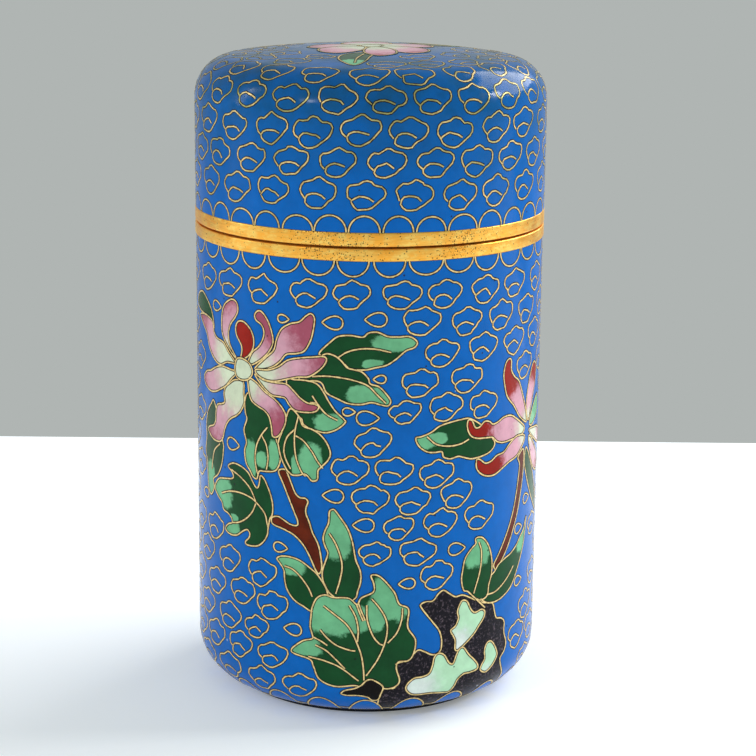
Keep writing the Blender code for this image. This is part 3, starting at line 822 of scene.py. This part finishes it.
def base_arches():
    """Low arches along the base: half ellipses side by side, a little apart."""
    angle = np.linspace(0, math.pi, 11)
    middles = ARCH_SHIFT + ROUND / ARCHES * (np.arange(ARCHES) - ARCHES // 2)
    line = np.column_stack([ARCH_HALF * np.cos(angle), ARCH_FOOT + (ARCH_TOP - ARCH_FOOT) * np.sin(angle)])
    foot = np.array([[-ARCH_HALF * 0.5, ARCH_FOOT], [0, ARCH_FOOT], [ARCH_HALF * 0.5, ARCH_FOOT]])
    return [np.concatenate([line, foot]) + (middle, 0) for middle in middles]


def scallops(count, shift, foot, tip, rng):
    """Half ellipses side by side round the wall, from a band's edge out to tip, some a hair apart."""
    angle = np.linspace(0, math.pi, 15)
    pitch = ROUND / count
    middles = shift + pitch * (np.arange(count) + 0.5) + rng.normal(0, 0.12, count)
    halves = pitch * rng.uniform(0.43, 0.5, count)
    depths = (tip - foot) * rng.uniform(0.9, 1.05, count)
    return [
        np.column_stack([middle + half * np.cos(angle), foot + depth * np.sin(angle)])
        for middle, half, depth in zip(middles, halves, depths)
    ]


def drop_line(across, up, size, lean):
    """A drop: an ellipse whose height is drawn in towards one end, turned by an angle in degrees."""
    t = np.linspace(0, TURN, 18, endpoint=False)
    lean = math.radians(lean)
    x = 1.3 * size * np.cos(t)
    y = 1.05 * size * np.sin(t) * np.sin(t / 2) ** 0.8
    return np.column_stack([
        across + x * math.cos(lean) - y * math.sin(lean),
        up + x * math.sin(lean) + y * math.cos(lean),
    ])


def cloud_line(rng, size):
    """One cloud loop, each of its points moved a little, then stretched and tilted as a whole."""
    points = CLOUD + rng.normal(0, 0.06, CLOUD.shape)
    points[-3:] += rng.uniform(0, 1) ** 2 * pairs(CURL_CLOSING)
    points *= size * rng.uniform((0.96, 0.95), (1.06, 1.06))
    lean = rng.normal(0.0, 0.06)
    turn = np.array([[math.cos(lean), math.sin(lean)], [-math.sin(lean), math.cos(lean)]])
    return flowing(points @ turn, False, CLOUD_STEP)


def lay_clouds(rows, taken, to_flat, bend, rng):
    """Fill rows with cloud loops wherever they clear the cells.

    rows gives each row's place up the wall, its number of loops and its shift. A loop that meets a
    cell or another loop is tried a little to each side, then smaller, and is otherwise replaced by
    a drop or left out. bend turns a loop's own millimetres into the flat ones of its place.
    """
    placed = []
    for up, count, shift in rows:
        for middle in shift + ROUND / count * np.arange(count):
            middle += rng.normal(0, 0.22)
            height = up + rng.normal(0, 0.13)
            line = cloud_line(rng, 1.0)
            tries = ((1.0, "cloud"), (0.84, "cloud"), (0.9, "drop"), (0.7, "drop"))
            for size, kind in tries if rng.random() < 0.45 else tries[:2]:
                shape = line * size if kind == "cloud" else drop_line(0, 0, size, 180 * rng.integers(2))
                for dx, dy in NUDGES:
                    flat = bend(shape, middle + dx, height + dy)
                    if clear_of(to_flat(flat), taken):
                        placed.append((flat, kind == "drop"))
                        taken.append(to_flat(flat))
                        break
                else:
                    continue
                break
    return placed


def clear_of(flat, taken):
    """True if a line keeps its distance from every taken group of points."""
    low, high = flat.min(0) - CLEARANCE, flat.max(0) + CLEARANCE
    for points in taken:
        near = points[((points > low) & (points < high)).all(1)]
        if len(near) and nearest(near, flat).min() < CLEARANCE:
            return False
        if len(near) and inside(near, flat).any():
            return False
    return True


# Finishes


# Lesser tones of the finishes
PIN_HOLE = (0.01, 0.01, 0.015, 1)
BUBBLE = (0.7, 0.8, 0.85, 1)
LICHEN_WHITE = (0.75, 0.84, 0.78, 1)
STONE_GRAIN = (0.12, 0.09, 0.11, 1)
# Dark brown between the bright dashes on the wires: tarnish, and the gaps between painted glints
BETWEEN_GLINTS = (0.30, 0.19, 0.07, 1)


class Nodes:
    """Adds shader nodes to a tree, each with its inputs given as values or as outputs of others."""

    def __init__(self, tree):
        self.tree = tree

    def add(self, kind, inputs=None, **settings):
        node = self.tree.nodes.new(kind)
        node.location = (220 * (len(self.tree.nodes) % 8), -300 * (len(self.tree.nodes) // 8))
        for name, value in settings.items():
            setattr(node, name, value)
        for name, value in (inputs or {}).items():
            if isinstance(value, bpy.types.NodeSocket):
                self.tree.links.new(value, node.inputs[name])
            else:
                node.inputs[name].default_value = value
        return node

    def math(self, operation, first, second=0.0, third=0.0):
        node = self.add("ShaderNodeMath", {0: first, 1: second, 2: third}, operation=operation)
        return node.outputs[0]

    def mix(self, amount, first, second, blend="MIX"):
        inputs = {0: amount, 6: first, 7: second}
        node = self.add("ShaderNodeMix", inputs, data_type="RGBA", blend_type=blend)
        return node.outputs[2]

    def ramp(self, value, low, high, start=0.0, end=1.0):
        inputs = {"Value": value, "From Min": low, "From Max": high, "To Min": start, "To Max": end}
        return self.add("ShaderNodeMapRange", inputs, interpolation_type="SMOOTHSTEP").outputs[0]

    def noise(self, place, scale, detail=3.0, roughness=0.5):
        inputs = {"Vector": place, "Scale": scale, "Detail": detail, "Roughness": roughness}
        return self.add("ShaderNodeTexNoise", inputs).outputs["Fac"]

    def stretch(self, place, level):
        """A place whose level parts count less, so that a pattern on it runs round the axis."""
        inputs = {0: place, 1: (level, level, 1.0)}
        return self.add("ShaderNodeVectorMath", inputs, operation="MULTIPLY").outputs[0]

    def dots(self, place, scale, size, share):
        """Round spots: near the middle of a random share of the cells of a Voronoi pattern."""
        cells = self.add("ShaderNodeTexVoronoi", {"Vector": place, "Scale": scale})
        pick = self.add("ShaderNodeSeparateColor", {0: cells.outputs["Color"]}).outputs[0]
        near = self.ramp(cells.outputs["Distance"], size * 0.6, size, 1.0, 0.0)
        return self.math("MULTIPLY", near, self.math("LESS_THAN", pick, share))


def new_group(name, inputs, outputs):
    """An empty shader group with named inputs and outputs, as its node helper and its inputs."""
    tree = bpy.data.node_groups.new(name, "ShaderNodeTree")
    for label, kind, default in inputs:
        socket = tree.interface.new_socket(label, in_out="INPUT", socket_type=kind)
        socket.default_value = default
    for label, kind in outputs:
        tree.interface.new_socket(label, in_out="OUTPUT", socket_type=kind)
    nodes = Nodes(tree)
    return nodes, nodes.add("NodeGroupInput").outputs


def fired_enamel_group():
    """Glassy enamel: cloudy colour, dark pin holes, pale bubbles and a faintly rippled skin."""
    nodes, given = new_group(
        "Fired Enamel",
        [("Colour", "NodeSocketColor", (0.5, 0.5, 0.5, 1)), ("Cloudiness", "NodeSocketFloat", 0.15),
         ("Pin Holes", "NodeSocketFloat", 0.1), ("Bubbles", "NodeSocketFloat", 0.04)],
        [("Colour", "NodeSocketColor"), ("Roughness", "NodeSocketFloat"), ("Height", "NodeSocketFloat")],
    )
    place = nodes.add("ShaderNodeTexCoord").outputs["Object"]
    cloudy = nodes.noise(place, 420, 5, 0.62)
    shade = nodes.math("MULTIPLY_ADD", nodes.math("SUBTRACT", cloudy, 0.5), given["Cloudiness"], 0.5)
    shaded = nodes.mix(1.0, given["Colour"], nodes.math("MULTIPLY", shade, 2.0), "MULTIPLY")
    holes = nodes.dots(place, 620, 0.12, given["Pin Holes"])
    bubbles = nodes.dots(place, 480, 0.13, given["Bubbles"])
    colour = nodes.mix(nodes.math("MULTIPLY", holes, 0.8), shaded, PIN_HOLE)
    colour = nodes.mix(nodes.math("MULTIPLY", bubbles, 0.45), colour, BUBBLE)
    rough = nodes.ramp(nodes.noise(place, 900, 3), 0.35, 0.7, 0.10, 0.24)
    rough = nodes.math("ADD", rough, nodes.math("MULTIPLY", holes, 0.4))
    ripple = nodes.noise(place, 230, 2)
    height = nodes.math("SUBTRACT", ripple, nodes.math("MULTIPLY", holes, 0.8))
    nodes.add("NodeGroupOutput", {"Colour": colour, "Roughness": rough, "Height": height})
    return nodes.tree


def shaded_fill_group():
    """Two enamels fired side by side, whose border is ragged and soft as ground glass leaves it."""
    nodes, given = new_group(
        "Shaded Fill",
        [("Tone", "NodeSocketFloat", 0.0), ("Border", "NodeSocketFloat", 0.5),
        ("Softness", "NodeSocketFloat", 0.06),
         ("First", "NodeSocketColor", (0, 0, 0, 1)), ("Second", "NodeSocketColor", (1, 1, 1, 1))],
        [("Colour", "NodeSocketColor")],
    )
    place = nodes.add("ShaderNodeTexCoord").outputs["Object"]
    ragged = nodes.math("SUBTRACT", nodes.noise(place, 900, 4, 0.7), 0.5)
    tone = nodes.math("MULTIPLY_ADD", ragged, 0.35, given["Tone"])
    low = nodes.math("SUBTRACT", given["Border"], given["Softness"])
    high = nodes.math("ADD", given["Border"], given["Softness"])
    colour = nodes.mix(nodes.ramp(tone, low, high), given["First"], given["Second"])
    nodes.add("NodeGroupOutput", {"Colour": colour})
    return nodes.tree


def worn_gilt_group():
    """Gilt brass: faint lines from turning, painted highlight patches in a brighter tone, and dark pits where
    it has worn.
    """
    nodes, given = new_group(
        "Worn Gilt",
        [("Colour", "NodeSocketColor", (0.8, 0.5, 0.2, 1)), ("Bright", "NodeSocketColor", (1, 0.7, 0.2, 1)),
         ("Dark", "NodeSocketColor", (0.05, 0.03, 0.01, 1)), ("Wear", "NodeSocketFloat", 0.1)],
        [("Colour", "NodeSocketColor"), ("Roughness", "NodeSocketFloat"), ("Height", "NodeSocketFloat")],
    )
    place = nodes.add("ShaderNodeTexCoord").outputs["Object"]
    stretched = nodes.stretch(place, 0.06)
    stretched_less = nodes.stretch(place, 0.5)
    lines = nodes.noise(stretched, 5200, 3, 0.6)
    blotches = nodes.noise(place, 330, 4, 0.6)
    highlight_streaks = nodes.noise(stretched_less, 1500, 4, 0.7)
    pits = nodes.dots(place, 3300, 0.40, given["Wear"])
    specks = nodes.dots(place, 5200, 0.45, nodes.math("MULTIPLY", given["Wear"], 0.8))
    marks = nodes.math("MAXIMUM", pits, nodes.math("MULTIPLY", specks, 0.8))
    # Painted highlight: blotches and streaks round the axis lay the brighter tone over the base colour
    painted_highlight = nodes.math("ADD", nodes.ramp(blotches, 0.4, 0.7, 0.0, 0.4),
        nodes.ramp(highlight_streaks, 0.45, 0.65, 0.0, 0.5))
    toned = nodes.mix(painted_highlight, given["Colour"], given["Bright"])
    toned = nodes.mix(nodes.ramp(lines, 0.3, 0.6, 0.14, 0.0), toned, given["Dark"])
    colour = nodes.mix(nodes.math("MULTIPLY", marks, 0.9), toned, given["Dark"])
    rough = nodes.math("ADD", nodes.ramp(blotches, 0.3, 0.7, 0.28, 0.42), nodes.math("MULTIPLY", marks, 0.3))
    height = nodes.math("SUBTRACT", nodes.math("MULTIPLY", lines, 0.12), marks)
    nodes.add("NodeGroupOutput", {"Colour": colour, "Roughness": rough, "Height": height})
    return nodes.tree


class Finishes:
    """The materials, each made when it is first asked for."""

    def __init__(self, colours):
        self.colours = colours
        self.made = {}
        self.enamel = fired_enamel_group()
        self.fill = shaded_fill_group()
        self.gilt = worn_gilt_group()

    def get(self, name):
        if name not in self.made:
            self.made[name] = getattr(self, "make_" + name)(name)
        return self.made[name]

    def tint(self, name):
        return (*getattr(self.colours, name), 1.0)

    def start(self, name):
        """A new material's nodes and its shader."""
        material = bpy.data.materials.new(name)
        material.use_nodes = True
        nodes = Nodes(material.node_tree)
        return material, nodes, material.node_tree.nodes["Principled BSDF"]

    def close(self, nodes, shader, colour, roughness, height, depth):
        """Join a colour, a roughness and a height to the shader, with the height's depth in metres."""
        bump = nodes.add("ShaderNodeBump", {"Height": height, "Distance": depth, "Strength": 1.0})
        links = nodes.tree.links
        links.new(colour, shader.inputs["Base Color"])
        links.new(roughness, shader.inputs["Roughness"])
        links.new(bump.outputs[0], shader.inputs["Normal"])

    def enamelled(self, name, colour, cloudiness=0.25, holes=0.08, bubbles=0.03, depth=0.00004):
        """An enamel whose colour comes from a function of its nodes, or is one tint all over."""
        material, nodes, shader = self.start(name)
        shader.inputs["IOR"].default_value = 1.5
        shader.inputs["Specular IOR Level"].default_value = 0.1
        shade = colour(nodes) if callable(colour) else self.tint(colour)
        inputs = {"Colour": shade, "Cloudiness": cloudiness, "Pin Holes": holes, "Bubbles": bubbles}
        out = nodes.add("ShaderNodeGroup", inputs, node_tree=self.enamel).outputs
        self.close(nodes, shader, out["Colour"], out["Roughness"], out["Height"], depth)
        return material

    def tone(self, nodes):
        return nodes.add("ShaderNodeAttribute", attribute_name="tone").outputs["Fac"]

    def two(self, nodes, tone, first, second, border, softness):
        """Two colours parted by the tone."""
        first, second = (self.tint(c) if isinstance(c, str) else c for c in (first, second))
        inputs = {"Tone": tone, "Border": border, "Softness": softness, "First": first, "Second": second}
        return nodes.add("ShaderNodeGroup", inputs, node_tree=self.fill).outputs[0]

    def toned(self, first, second, border, softness):
        """A function of the nodes that parts two colours by the mesh's own tone."""
        return lambda nodes: self.two(nodes, self.tone(nodes), first, second, border, softness)

    def make_ground(self, name):
        def shade(nodes):
            place = nodes.add("ShaderNodeTexCoord").outputs["Object"]
            height = nodes.add("ShaderNodeSeparateXYZ", {0: place}).outputs[2]
            patches = nodes.ramp(nodes.noise(place, 160, 4, 0.65), 0.3, 0.7, 0.35, 1.0)
            dirt = nodes.math("MULTIPLY", nodes.ramp(height, 0.072, 0.098, 0.0, 0.75), patches)
            return nodes.mix(dirt, self.tint("blue"), self.tint("grime"))
        return self.enamelled(name, shade, 0.22, 0.10, 0.03)

    def make_arch(self, name):
        return self.get("ground")

    def make_lining(self, name):
        return self.enamelled(name, "lining", 0.35, 0.3, 0.2, 0.00012)

    def make_leaf(self, name):
        return self.enamelled(name, self.toned("leaf", "mint", 0.5, 0.06), 0.4)

    def make_mint_petal(self, name):
        return self.enamelled(name, "mint")

    def make_petal(self, name):
        def shade(nodes):
            tone = self.tone(nodes)
            inner = self.two(nodes, tone, "cream", "blush", 0.42, 0.16)
            return self.two(nodes, tone, inner, "rose", 0.74, 0.14)
        return self.enamelled(name, shade, 0.35, 0.12)

    def make_red_petal(self, name):
        return self.enamelled(name, "red", 0.5)

    def make_scarlet(self, name):
        def shade(nodes):
            tone = self.tone(nodes)
            inner = self.two(nodes, tone, "cream", "blush", 0.25, 0.12)
            return self.two(nodes, tone, inner, "red", 0.66, 0.1)
        return self.enamelled(name, shade, 0.35, 0.12)

    def make_bark(self, name):
        return self.enamelled(name, "bark", 0.9, 0.3)

    def make_root(self, name):
        return self.enamelled(name, "root", 0.3)

    def make_rock(self, name):
        def shade(nodes):
            place = nodes.add("ShaderNodeTexCoord").outputs["Object"]
            grains = nodes.ramp(nodes.noise(place, 2400, 3, 0.7), 0.52, 0.7)
            return nodes.mix(grains, self.tint("stone"), STONE_GRAIN)
        return self.enamelled(name, shade, 0.6, 0.2, 0.05)

    def make_lichen(self, name):
        return self.enamelled(name, self.toned(LICHEN_WHITE, "lichen", 0.3, 0.2), 0.3)

    def metal(self, name, colour, bright, wear, depth):
        """A worn metal whose second tone is a painted highlight in patches, pitted evenly or by the points'
        own measure of wear.
        """
        material, nodes, shader = self.start(name)
        shader.inputs["Metallic"].default_value = 0.7
        if isinstance(wear, str):
            wear = nodes.add("ShaderNodeAttribute", attribute_name=wear).outputs["Fac"]
        inputs = {"Colour": self.tint(colour), "Bright": self.tint(bright), "Wear": wear}
        out = nodes.add("ShaderNodeGroup", inputs, node_tree=self.gilt).outputs
        self.close(nodes, shader, out["Colour"], out["Roughness"], out["Height"], depth)
        return material

    def make_gilt(self, name):
        return self.metal(name, "gilt", "gilt_highlight", "wear", 0.00003)

    # The foot's near-black navy is part tarnish, part painted shade; its lighter patches are a painted sheen
    def make_foot(self, name):
        return self.metal(name, "foot", "foot_sheen", 0.3, 0.00005)

    def make_wire(self, name):
        material, nodes, shader = self.start(name)
        place = nodes.add("ShaderNodeTexCoord").outputs["Object"]
        height = nodes.add("ShaderNodeSeparateXYZ", {0: place}).outputs[2]
        edge = nodes.add("ShaderNodeAttribute", attribute_name="edge").outputs["Fac"]
        broken = nodes.noise(place, 1300, 3, 0.6)
        limit = nodes.ramp(broken, 0.3, 0.5, 0.3, 0.46)
        core = nodes.ramp(nodes.math("SUBTRACT", edge, limit), -0.06, 0.06, 1.0, 0.0)
        tarnish = nodes.math("MULTIPLY", nodes.ramp(height, 0.06, 0.093),
            nodes.ramp(nodes.noise(place, 260, 3), 0.35, 0.65))
        gold = nodes.mix(nodes.math("MULTIPLY", tarnish, 0.75), self.tint("wire"), self.tint("verdigris"))
        # Bright and dark dashes along the wire: painted glints, with tarnish in the dark gaps between them
        glint_gaps = nodes.ramp(nodes.noise(place, 2300, 2), 0.36, 0.56, 0.45, 0.0)
        gold = nodes.mix(glint_gaps, gold, BETWEEN_GLINTS)
        colour = nodes.mix(core, self.tint("patina"), gold)
        rough = nodes.ramp(broken, 0.3, 0.6, 0.5, 0.28)
        nodes.tree.links.new(nodes.math("MULTIPLY", core, 0.3), shader.inputs["Metallic"])
        shader.inputs["Specular IOR Level"].default_value = 0.1
        self.close(nodes, shader, colour, rough, broken, 0.00002)
        return material


FINISHES = {}


def finish(name):
    """A finish by name, made once for the whole box."""
    if "all" not in FINISHES:
        FINISHES["all"] = Finishes(bpy.context.scene.enamel_box_colours)
    return FINISHES["all"].get(name)


def set_wear(piece):
    """Keep how pitted each point of a band is: two worn places on the front, spread by a bell curve."""
    mesh = piece.data
    points = np.zeros(len(mesh.vertices) * 3, np.float32)
    mesh.vertices.foreach_get("co", points)
    x, y, _ = points.reshape(-1, 3).T
    around = np.arctan2(x, -y) * LID_RADIUS / MM
    wear = 0.04 + 0.5 * np.exp(-(((around + 5) / 5) ** 2)) + 0.45 * np.exp(-(((around - 14) / 4) ** 2))
    mesh.attributes.new("wear", "FLOAT", "POINT").data.foreach_set("value", wear.astype(np.float32))


def lay_cells(sizes, prefix, cells, to_wall):
    """Fill the cells with enamel, one mesh for each kind, and return the wires that fence them."""
    stack_layers(cells)
    wires = Builder()
    for place, cell in enumerate(cells):
        later = [other.outline for other in cells[place + 1 :] if other.kind != "vein"]
        closed = cell.kind != "vein"
        hidden = np.any([inside(cell.outline, other) for other in later],
            axis=0) if later else np.zeros(len(cell.outline), bool)
        lift = sizes.cell_rise + cell.layer * sizes.layer_step + 0.004 * MM
        for line, loop in open_runs(cell.outline, hidden, closed):
            add_wire(wires, sizes, line, loop, to_wall, lift)
    for kind in dict.fromkeys(cell.kind for cell in cells if cell.kind != "vein"):
        builder = Builder()
        for cell in cells:
            if cell.kind == kind:
                add_cell(builder, sizes, cell, to_wall)
        slot = "blue_enamel" if kind == "arch" else None
        finish_piece(f"{prefix}_{kind}_cells", builder.mesh(f"{prefix}_{kind}_cells", "tone"),
            [finish(kind)], slot=slot)
    return wires


def taken_by(cells):
    """The points that the cells take up, as one group for each."""
    groups = []
    for cell in cells:
        if cell.kind == "vein":
            continue
        low, high = cell.outline.min(0), cell.outline.max(0)
        grid = np.stack(np.meshgrid(np.arange(low[0], high[0], 0.5), np.arange(low[1], high[1], 0.5)),
            -1).reshape(-1, 2)
        groups.append(np.concatenate([cell.outline, grid[inside(grid, cell.outline)]]))
    return groups


class MakeVessel(bpy.types.Operator):
    """Turn the enamelled cup, its band with the collar, and the foot ring"""

    bl_idname = "enamel_box.make_vessel"
    bl_label = "Make Body"

    def execute(self, context):
        sizes = context.scene.enamel_box_sizes
        turned_piece(sizes, "body_wall", body_profile(sizes), [finish("ground"), finish("lining")],
                     lined=[(0, 16), (46, 48)], replaced=["body_shell"], slot="blue_enamel")
        band = turned_piece(sizes, "body_band", body_rim_profile(sizes), [finish("gilt")], closed=True,
                            replaced=["body_rim"], slot="gilt_brass")
        set_wear(band)
        turned_piece(sizes, "foot", foot_profile(sizes), [finish("foot")], closed=True,
                     replaced=["foot_ring"], slot="dark_brass")
        return {"FINISHED"}


class MakeLid(bpy.types.Operator):
    """Turn the enamelled cap and its band"""

    bl_idname = "enamel_box.make_lid"
    bl_label = "Make Lid"

    def execute(self, context):
        sizes = context.scene.enamel_box_sizes
        turned_piece(sizes, "lid_wall", lid_profile(sizes), [finish("ground"), finish("lining")],
                     lined=[(49, 75)], replaced=["lid_shell"], slot="blue_enamel")
        band = turned_piece(sizes, "lid_band", lid_rim_profile(sizes), [finish("gilt")], closed=True,
                            replaced=["lid_rim"], slot="gilt_brass")
        set_wear(band)
        return {"FINISHED"}


class MakeBodyPicture(bpy.types.Operator):
    """Lay the flowers, leaves, branches and rocks on the body, then fill the ground with clouds"""

    bl_idname = "enamel_box.make_body_picture"
    bl_label = "Make Body Picture"

    def execute(self, context):
        sizes = context.scene.enamel_box_sizes
        rng = np.random.default_rng(11)
        to_wall = side_wall()
        cells = body_cells()
        fences = lay_cells(sizes, "body", cells, to_wall)
        finish_piece("body_cell_wires", fences.mesh("body_cell_wires", "edge"), [finish("wire")],
            slot="gilt_brass")
        taken = taken_by(cells)
        wires = Builder()
        low = 0.004 * MM
        for line in scallops(32, 0.3, 69.05, 66.85, rng):
            add_wire(wires, sizes, line, False, to_wall, low)
        for across, up, size, lean in DROPS:
            line = drop_line(across, up, size, lean)
            taken.append(line)
            add_wire(wires, sizes, line, True, to_wall, low)
        rows = []
        for row in range(15):
            start = 4.5 - 0.06 * row if row % 2 == 0 else 1.1 - 0.085 * row
            rows.append((64.1 - 4.18 * row, 24, start - ROUND / 24 * 6))
        bend = lambda shape, across, up: shape + (across, up)
        for line, loop in lay_clouds(rows, taken, lambda flat: flat, bend, rng):
            add_wire(wires, sizes, line, loop, to_wall, low)
        finish_piece("body_cloud_wires", wires.mesh("body_cloud_wires", "edge"), [finish("wire")],
            slot="gilt_brass")
        return {"FINISHED"}


class MakeLidPicture(bpy.types.Operator):
    """Lay the flower on the lid's top, then fill the lid with clouds"""

    bl_idname = "enamel_box.make_lid_picture"
    bl_label = "Make Lid Picture"

    def execute(self, context):
        sizes = context.scene.enamel_box_sizes
        rng = np.random.default_rng(5)
        to_side, to_top = side_wall(), top_wall(sizes)
        end, tilt = shoulder_line(sizes)[1:]
        pole = (end + tilt * sizes.dome) / MM
        cells = read_cells(LID_SPRAY)
        fences = lay_cells(sizes, "lid", cells, to_top)
        finish_piece("lid_cell_wires", fences.mesh("lid_cell_wires", "edge"), [finish("wire")],
            slot="gilt_brass")
        wires = Builder()
        low = 0.004 * MM
        for line in scallops(34, 1.7, 73.05, 75.3, rng):
            add_wire(wires, sizes, line, False, to_side, low)

        def bend(shape, across, up):
            height = shape[:, 1] + up
            return np.column_stack([across + shape[:, 0] * LID_RADIUS / radius_at(sizes, height * MM),
                height])

        def to_flat(line):
            angle, reach = line[:, 0] * MM / LID_RADIUS, pole - line[:, 1]
            return np.column_stack([reach * np.sin(angle), -reach * np.cos(angle)])

        rows = [(78.3, 24, -0.6), (82.6, 24, 2.45), (87.0, 24, -1.2), (91.4, 24, 2.0), (95.8, 21, -0.6),
                (100.2, 17, 2.0), (104.6, 12, 0.0)]
        for line, loop in lay_clouds(rows, taken_by(cells), to_flat, bend, rng):
            add_wire(wires, sizes, line, loop, to_side, low)
        finish_piece("lid_cloud_wires", wires.mesh("lid_cloud_wires", "edge"), [finish("wire")],
            slot="gilt_brass")
        return {"FINISHED"}


def add_light(name, around, up, distance, width, height, power, tint=(1, 1, 1)):
    """An area light that faces the box's middle, from an angle round it and an angle above the table."""
    around, up = math.radians(around), math.radians(up)
    back = np.array([math.sin(around) * math.cos(up), -math.cos(around) * math.cos(up), math.sin(up)])
    light = bpy.data.lights.new(name, "AREA")
    light.shape = "RECTANGLE"
    light.size, light.size_y = width, height
    light.energy = power
    light.color = tint
    lamp = bpy.data.objects.new(name, light)
    bpy.context.scene.collection.objects.link(lamp)
    side = np.array([math.cos(around), math.sin(around), 0.0])
    lamp.matrix_world = facing(side, np.cross(back, side), back, back * distance + (0, 0, TOTAL_HEIGHT / 2))
    return lamp


def facing(right, up, back, place):
    """The placing matrix of a light or camera from its three directions and its place."""
    matrix = np.eye(4)
    matrix[:3, :4] = np.column_stack([right, up, back, place])
    return Matrix(matrix.tolist())


class MakeStage(bpy.types.Operator):
    """Set up the table, the grey air behind it, the lights and the camera"""

    bl_idname = "enamel_box.make_stage"
    bl_label = "Make Stage"

    def execute(self, context):
        scene = context.scene
        stage = scene.enamel_box_stage
        edge = 0.133
        across, along = np.meshgrid(np.linspace(-1.2, 1.2, 9), np.linspace(-1.4, edge, 9))
        points = np.column_stack([across.ravel(), along.ravel(), np.zeros(81)])
        corner = (np.arange(8)[:, None] * 9 + np.arange(8)).ravel()
        faces = np.column_stack([corner, corner + 1, corner + 10, corner + 9])
        mesh = bpy.data.meshes.new("table")
        mesh.from_pydata(points, [], faces.tolist())
        material = bpy.data.materials.new("table_top")
        material.use_nodes = True
        shader = material.node_tree.nodes["Principled BSDF"]
        shader.inputs["Base Color"].default_value = (*stage.floor, 1)
        shader.inputs["Roughness"].default_value = 0.8
        shader.inputs["Emission Color"].default_value = (0.9, 0.96, 1.0, 1)
        shader.inputs["Emission Strength"].default_value = 0.2
        mesh.materials.append(material)
        table = bpy.data.objects.new("table", mesh)
        scene.collection.objects.link(table)
        world = bpy.data.worlds.new("air")
        world.use_nodes = True
        air = world.node_tree.nodes["Background"].inputs
        air["Color"].default_value = (*stage.air, 1)
        air["Strength"].default_value = stage.air_strength
        scene.world = world
        scene.view_settings.view_transform = "Standard"
        add_light("window", 125, 34, 0.9, 0.7, 0.5, stage.key_power)
        add_light("side", 95, 27, 0.8, 0.12, 0.12, stage.fill_power * 0.8)
        add_light("strip", -91, 20, 0.8, 0.06, 0.5, stage.fill_power * 0.5)
        add_light("front", -42, 28, 0.9, 0.1, 0.1, stage.fill_power * 0.5)
        pitch, yaw, roll = 0.2382, 0.0047, 0.0105
        ahead = np.array([math.sin(yaw) * math.cos(pitch), math.cos(yaw) * math.cos(pitch), -math.sin(pitch)])
        right = np.array([math.cos(yaw), -math.sin(yaw), 0.0])
        up = np.cross(right, ahead)
        tipped = math.cos(roll) * right + math.sin(roll) * up
        raised = math.cos(roll) * up - math.sin(roll) * right
        camera = bpy.data.objects.new("camera", bpy.data.cameras.new("camera"))
        camera.data.lens = stage.lens
        camera.data.sensor_width = 36.0
        camera.matrix_world = facing(tipped, raised, -ahead, (0.0, -stage.camera_distance,
            stage.camera_height))
        scene.collection.objects.link(camera)
        scene.camera = camera
        return {"FINISHED"}


OPERATORS = (MakeVessel, MakeLid, MakeBodyPicture, MakeLidPicture, MakeStage)


class BoxPanel(bpy.types.Panel):
    """Lists the steps that build the box"""

    bl_idname = "VIEW3D_PT_enamel_box"
    bl_label = "Enamel Box"
    bl_space_type = "VIEW_3D"
    bl_region_type = "UI"
    bl_category = "Enamel Box"

    def draw(self, context):
        column = self.layout.column()
        for operator in OPERATORS:
            column.operator(operator.bl_idname)
        for settings in (context.scene.enamel_box_sizes, context.scene.enamel_box_colours,
                context.scene.enamel_box_stage):
            box = self.layout.box()
            for name in settings.__annotations__:
                box.prop(settings, name)


CLASSES = (BoxSizes, BoxColours, StageSettings, *OPERATORS, BoxPanel)


def register():
    for item in CLASSES:
        bpy.utils.register_class(item)
    bpy.types.Scene.enamel_box_sizes = PointerProperty(type=BoxSizes)
    bpy.types.Scene.enamel_box_colours = PointerProperty(type=BoxColours)
    bpy.types.Scene.enamel_box_stage = PointerProperty(type=StageSettings)


def unregister():
    del bpy.types.Scene.enamel_box_stage
    del bpy.types.Scene.enamel_box_colours
    del bpy.types.Scene.enamel_box_sizes
    for item in reversed(CLASSES):
        bpy.utils.unregister_class(item)


def main():
    """Register the add-on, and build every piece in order."""
    register()
    bpy.ops.enamel_box.make_vessel()
    bpy.ops.enamel_box.make_lid()
    bpy.ops.enamel_box.make_body_picture()
    bpy.ops.enamel_box.make_lid_picture()
    bpy.ops.enamel_box.make_stage()


if __name__ == "__main__":
    main()
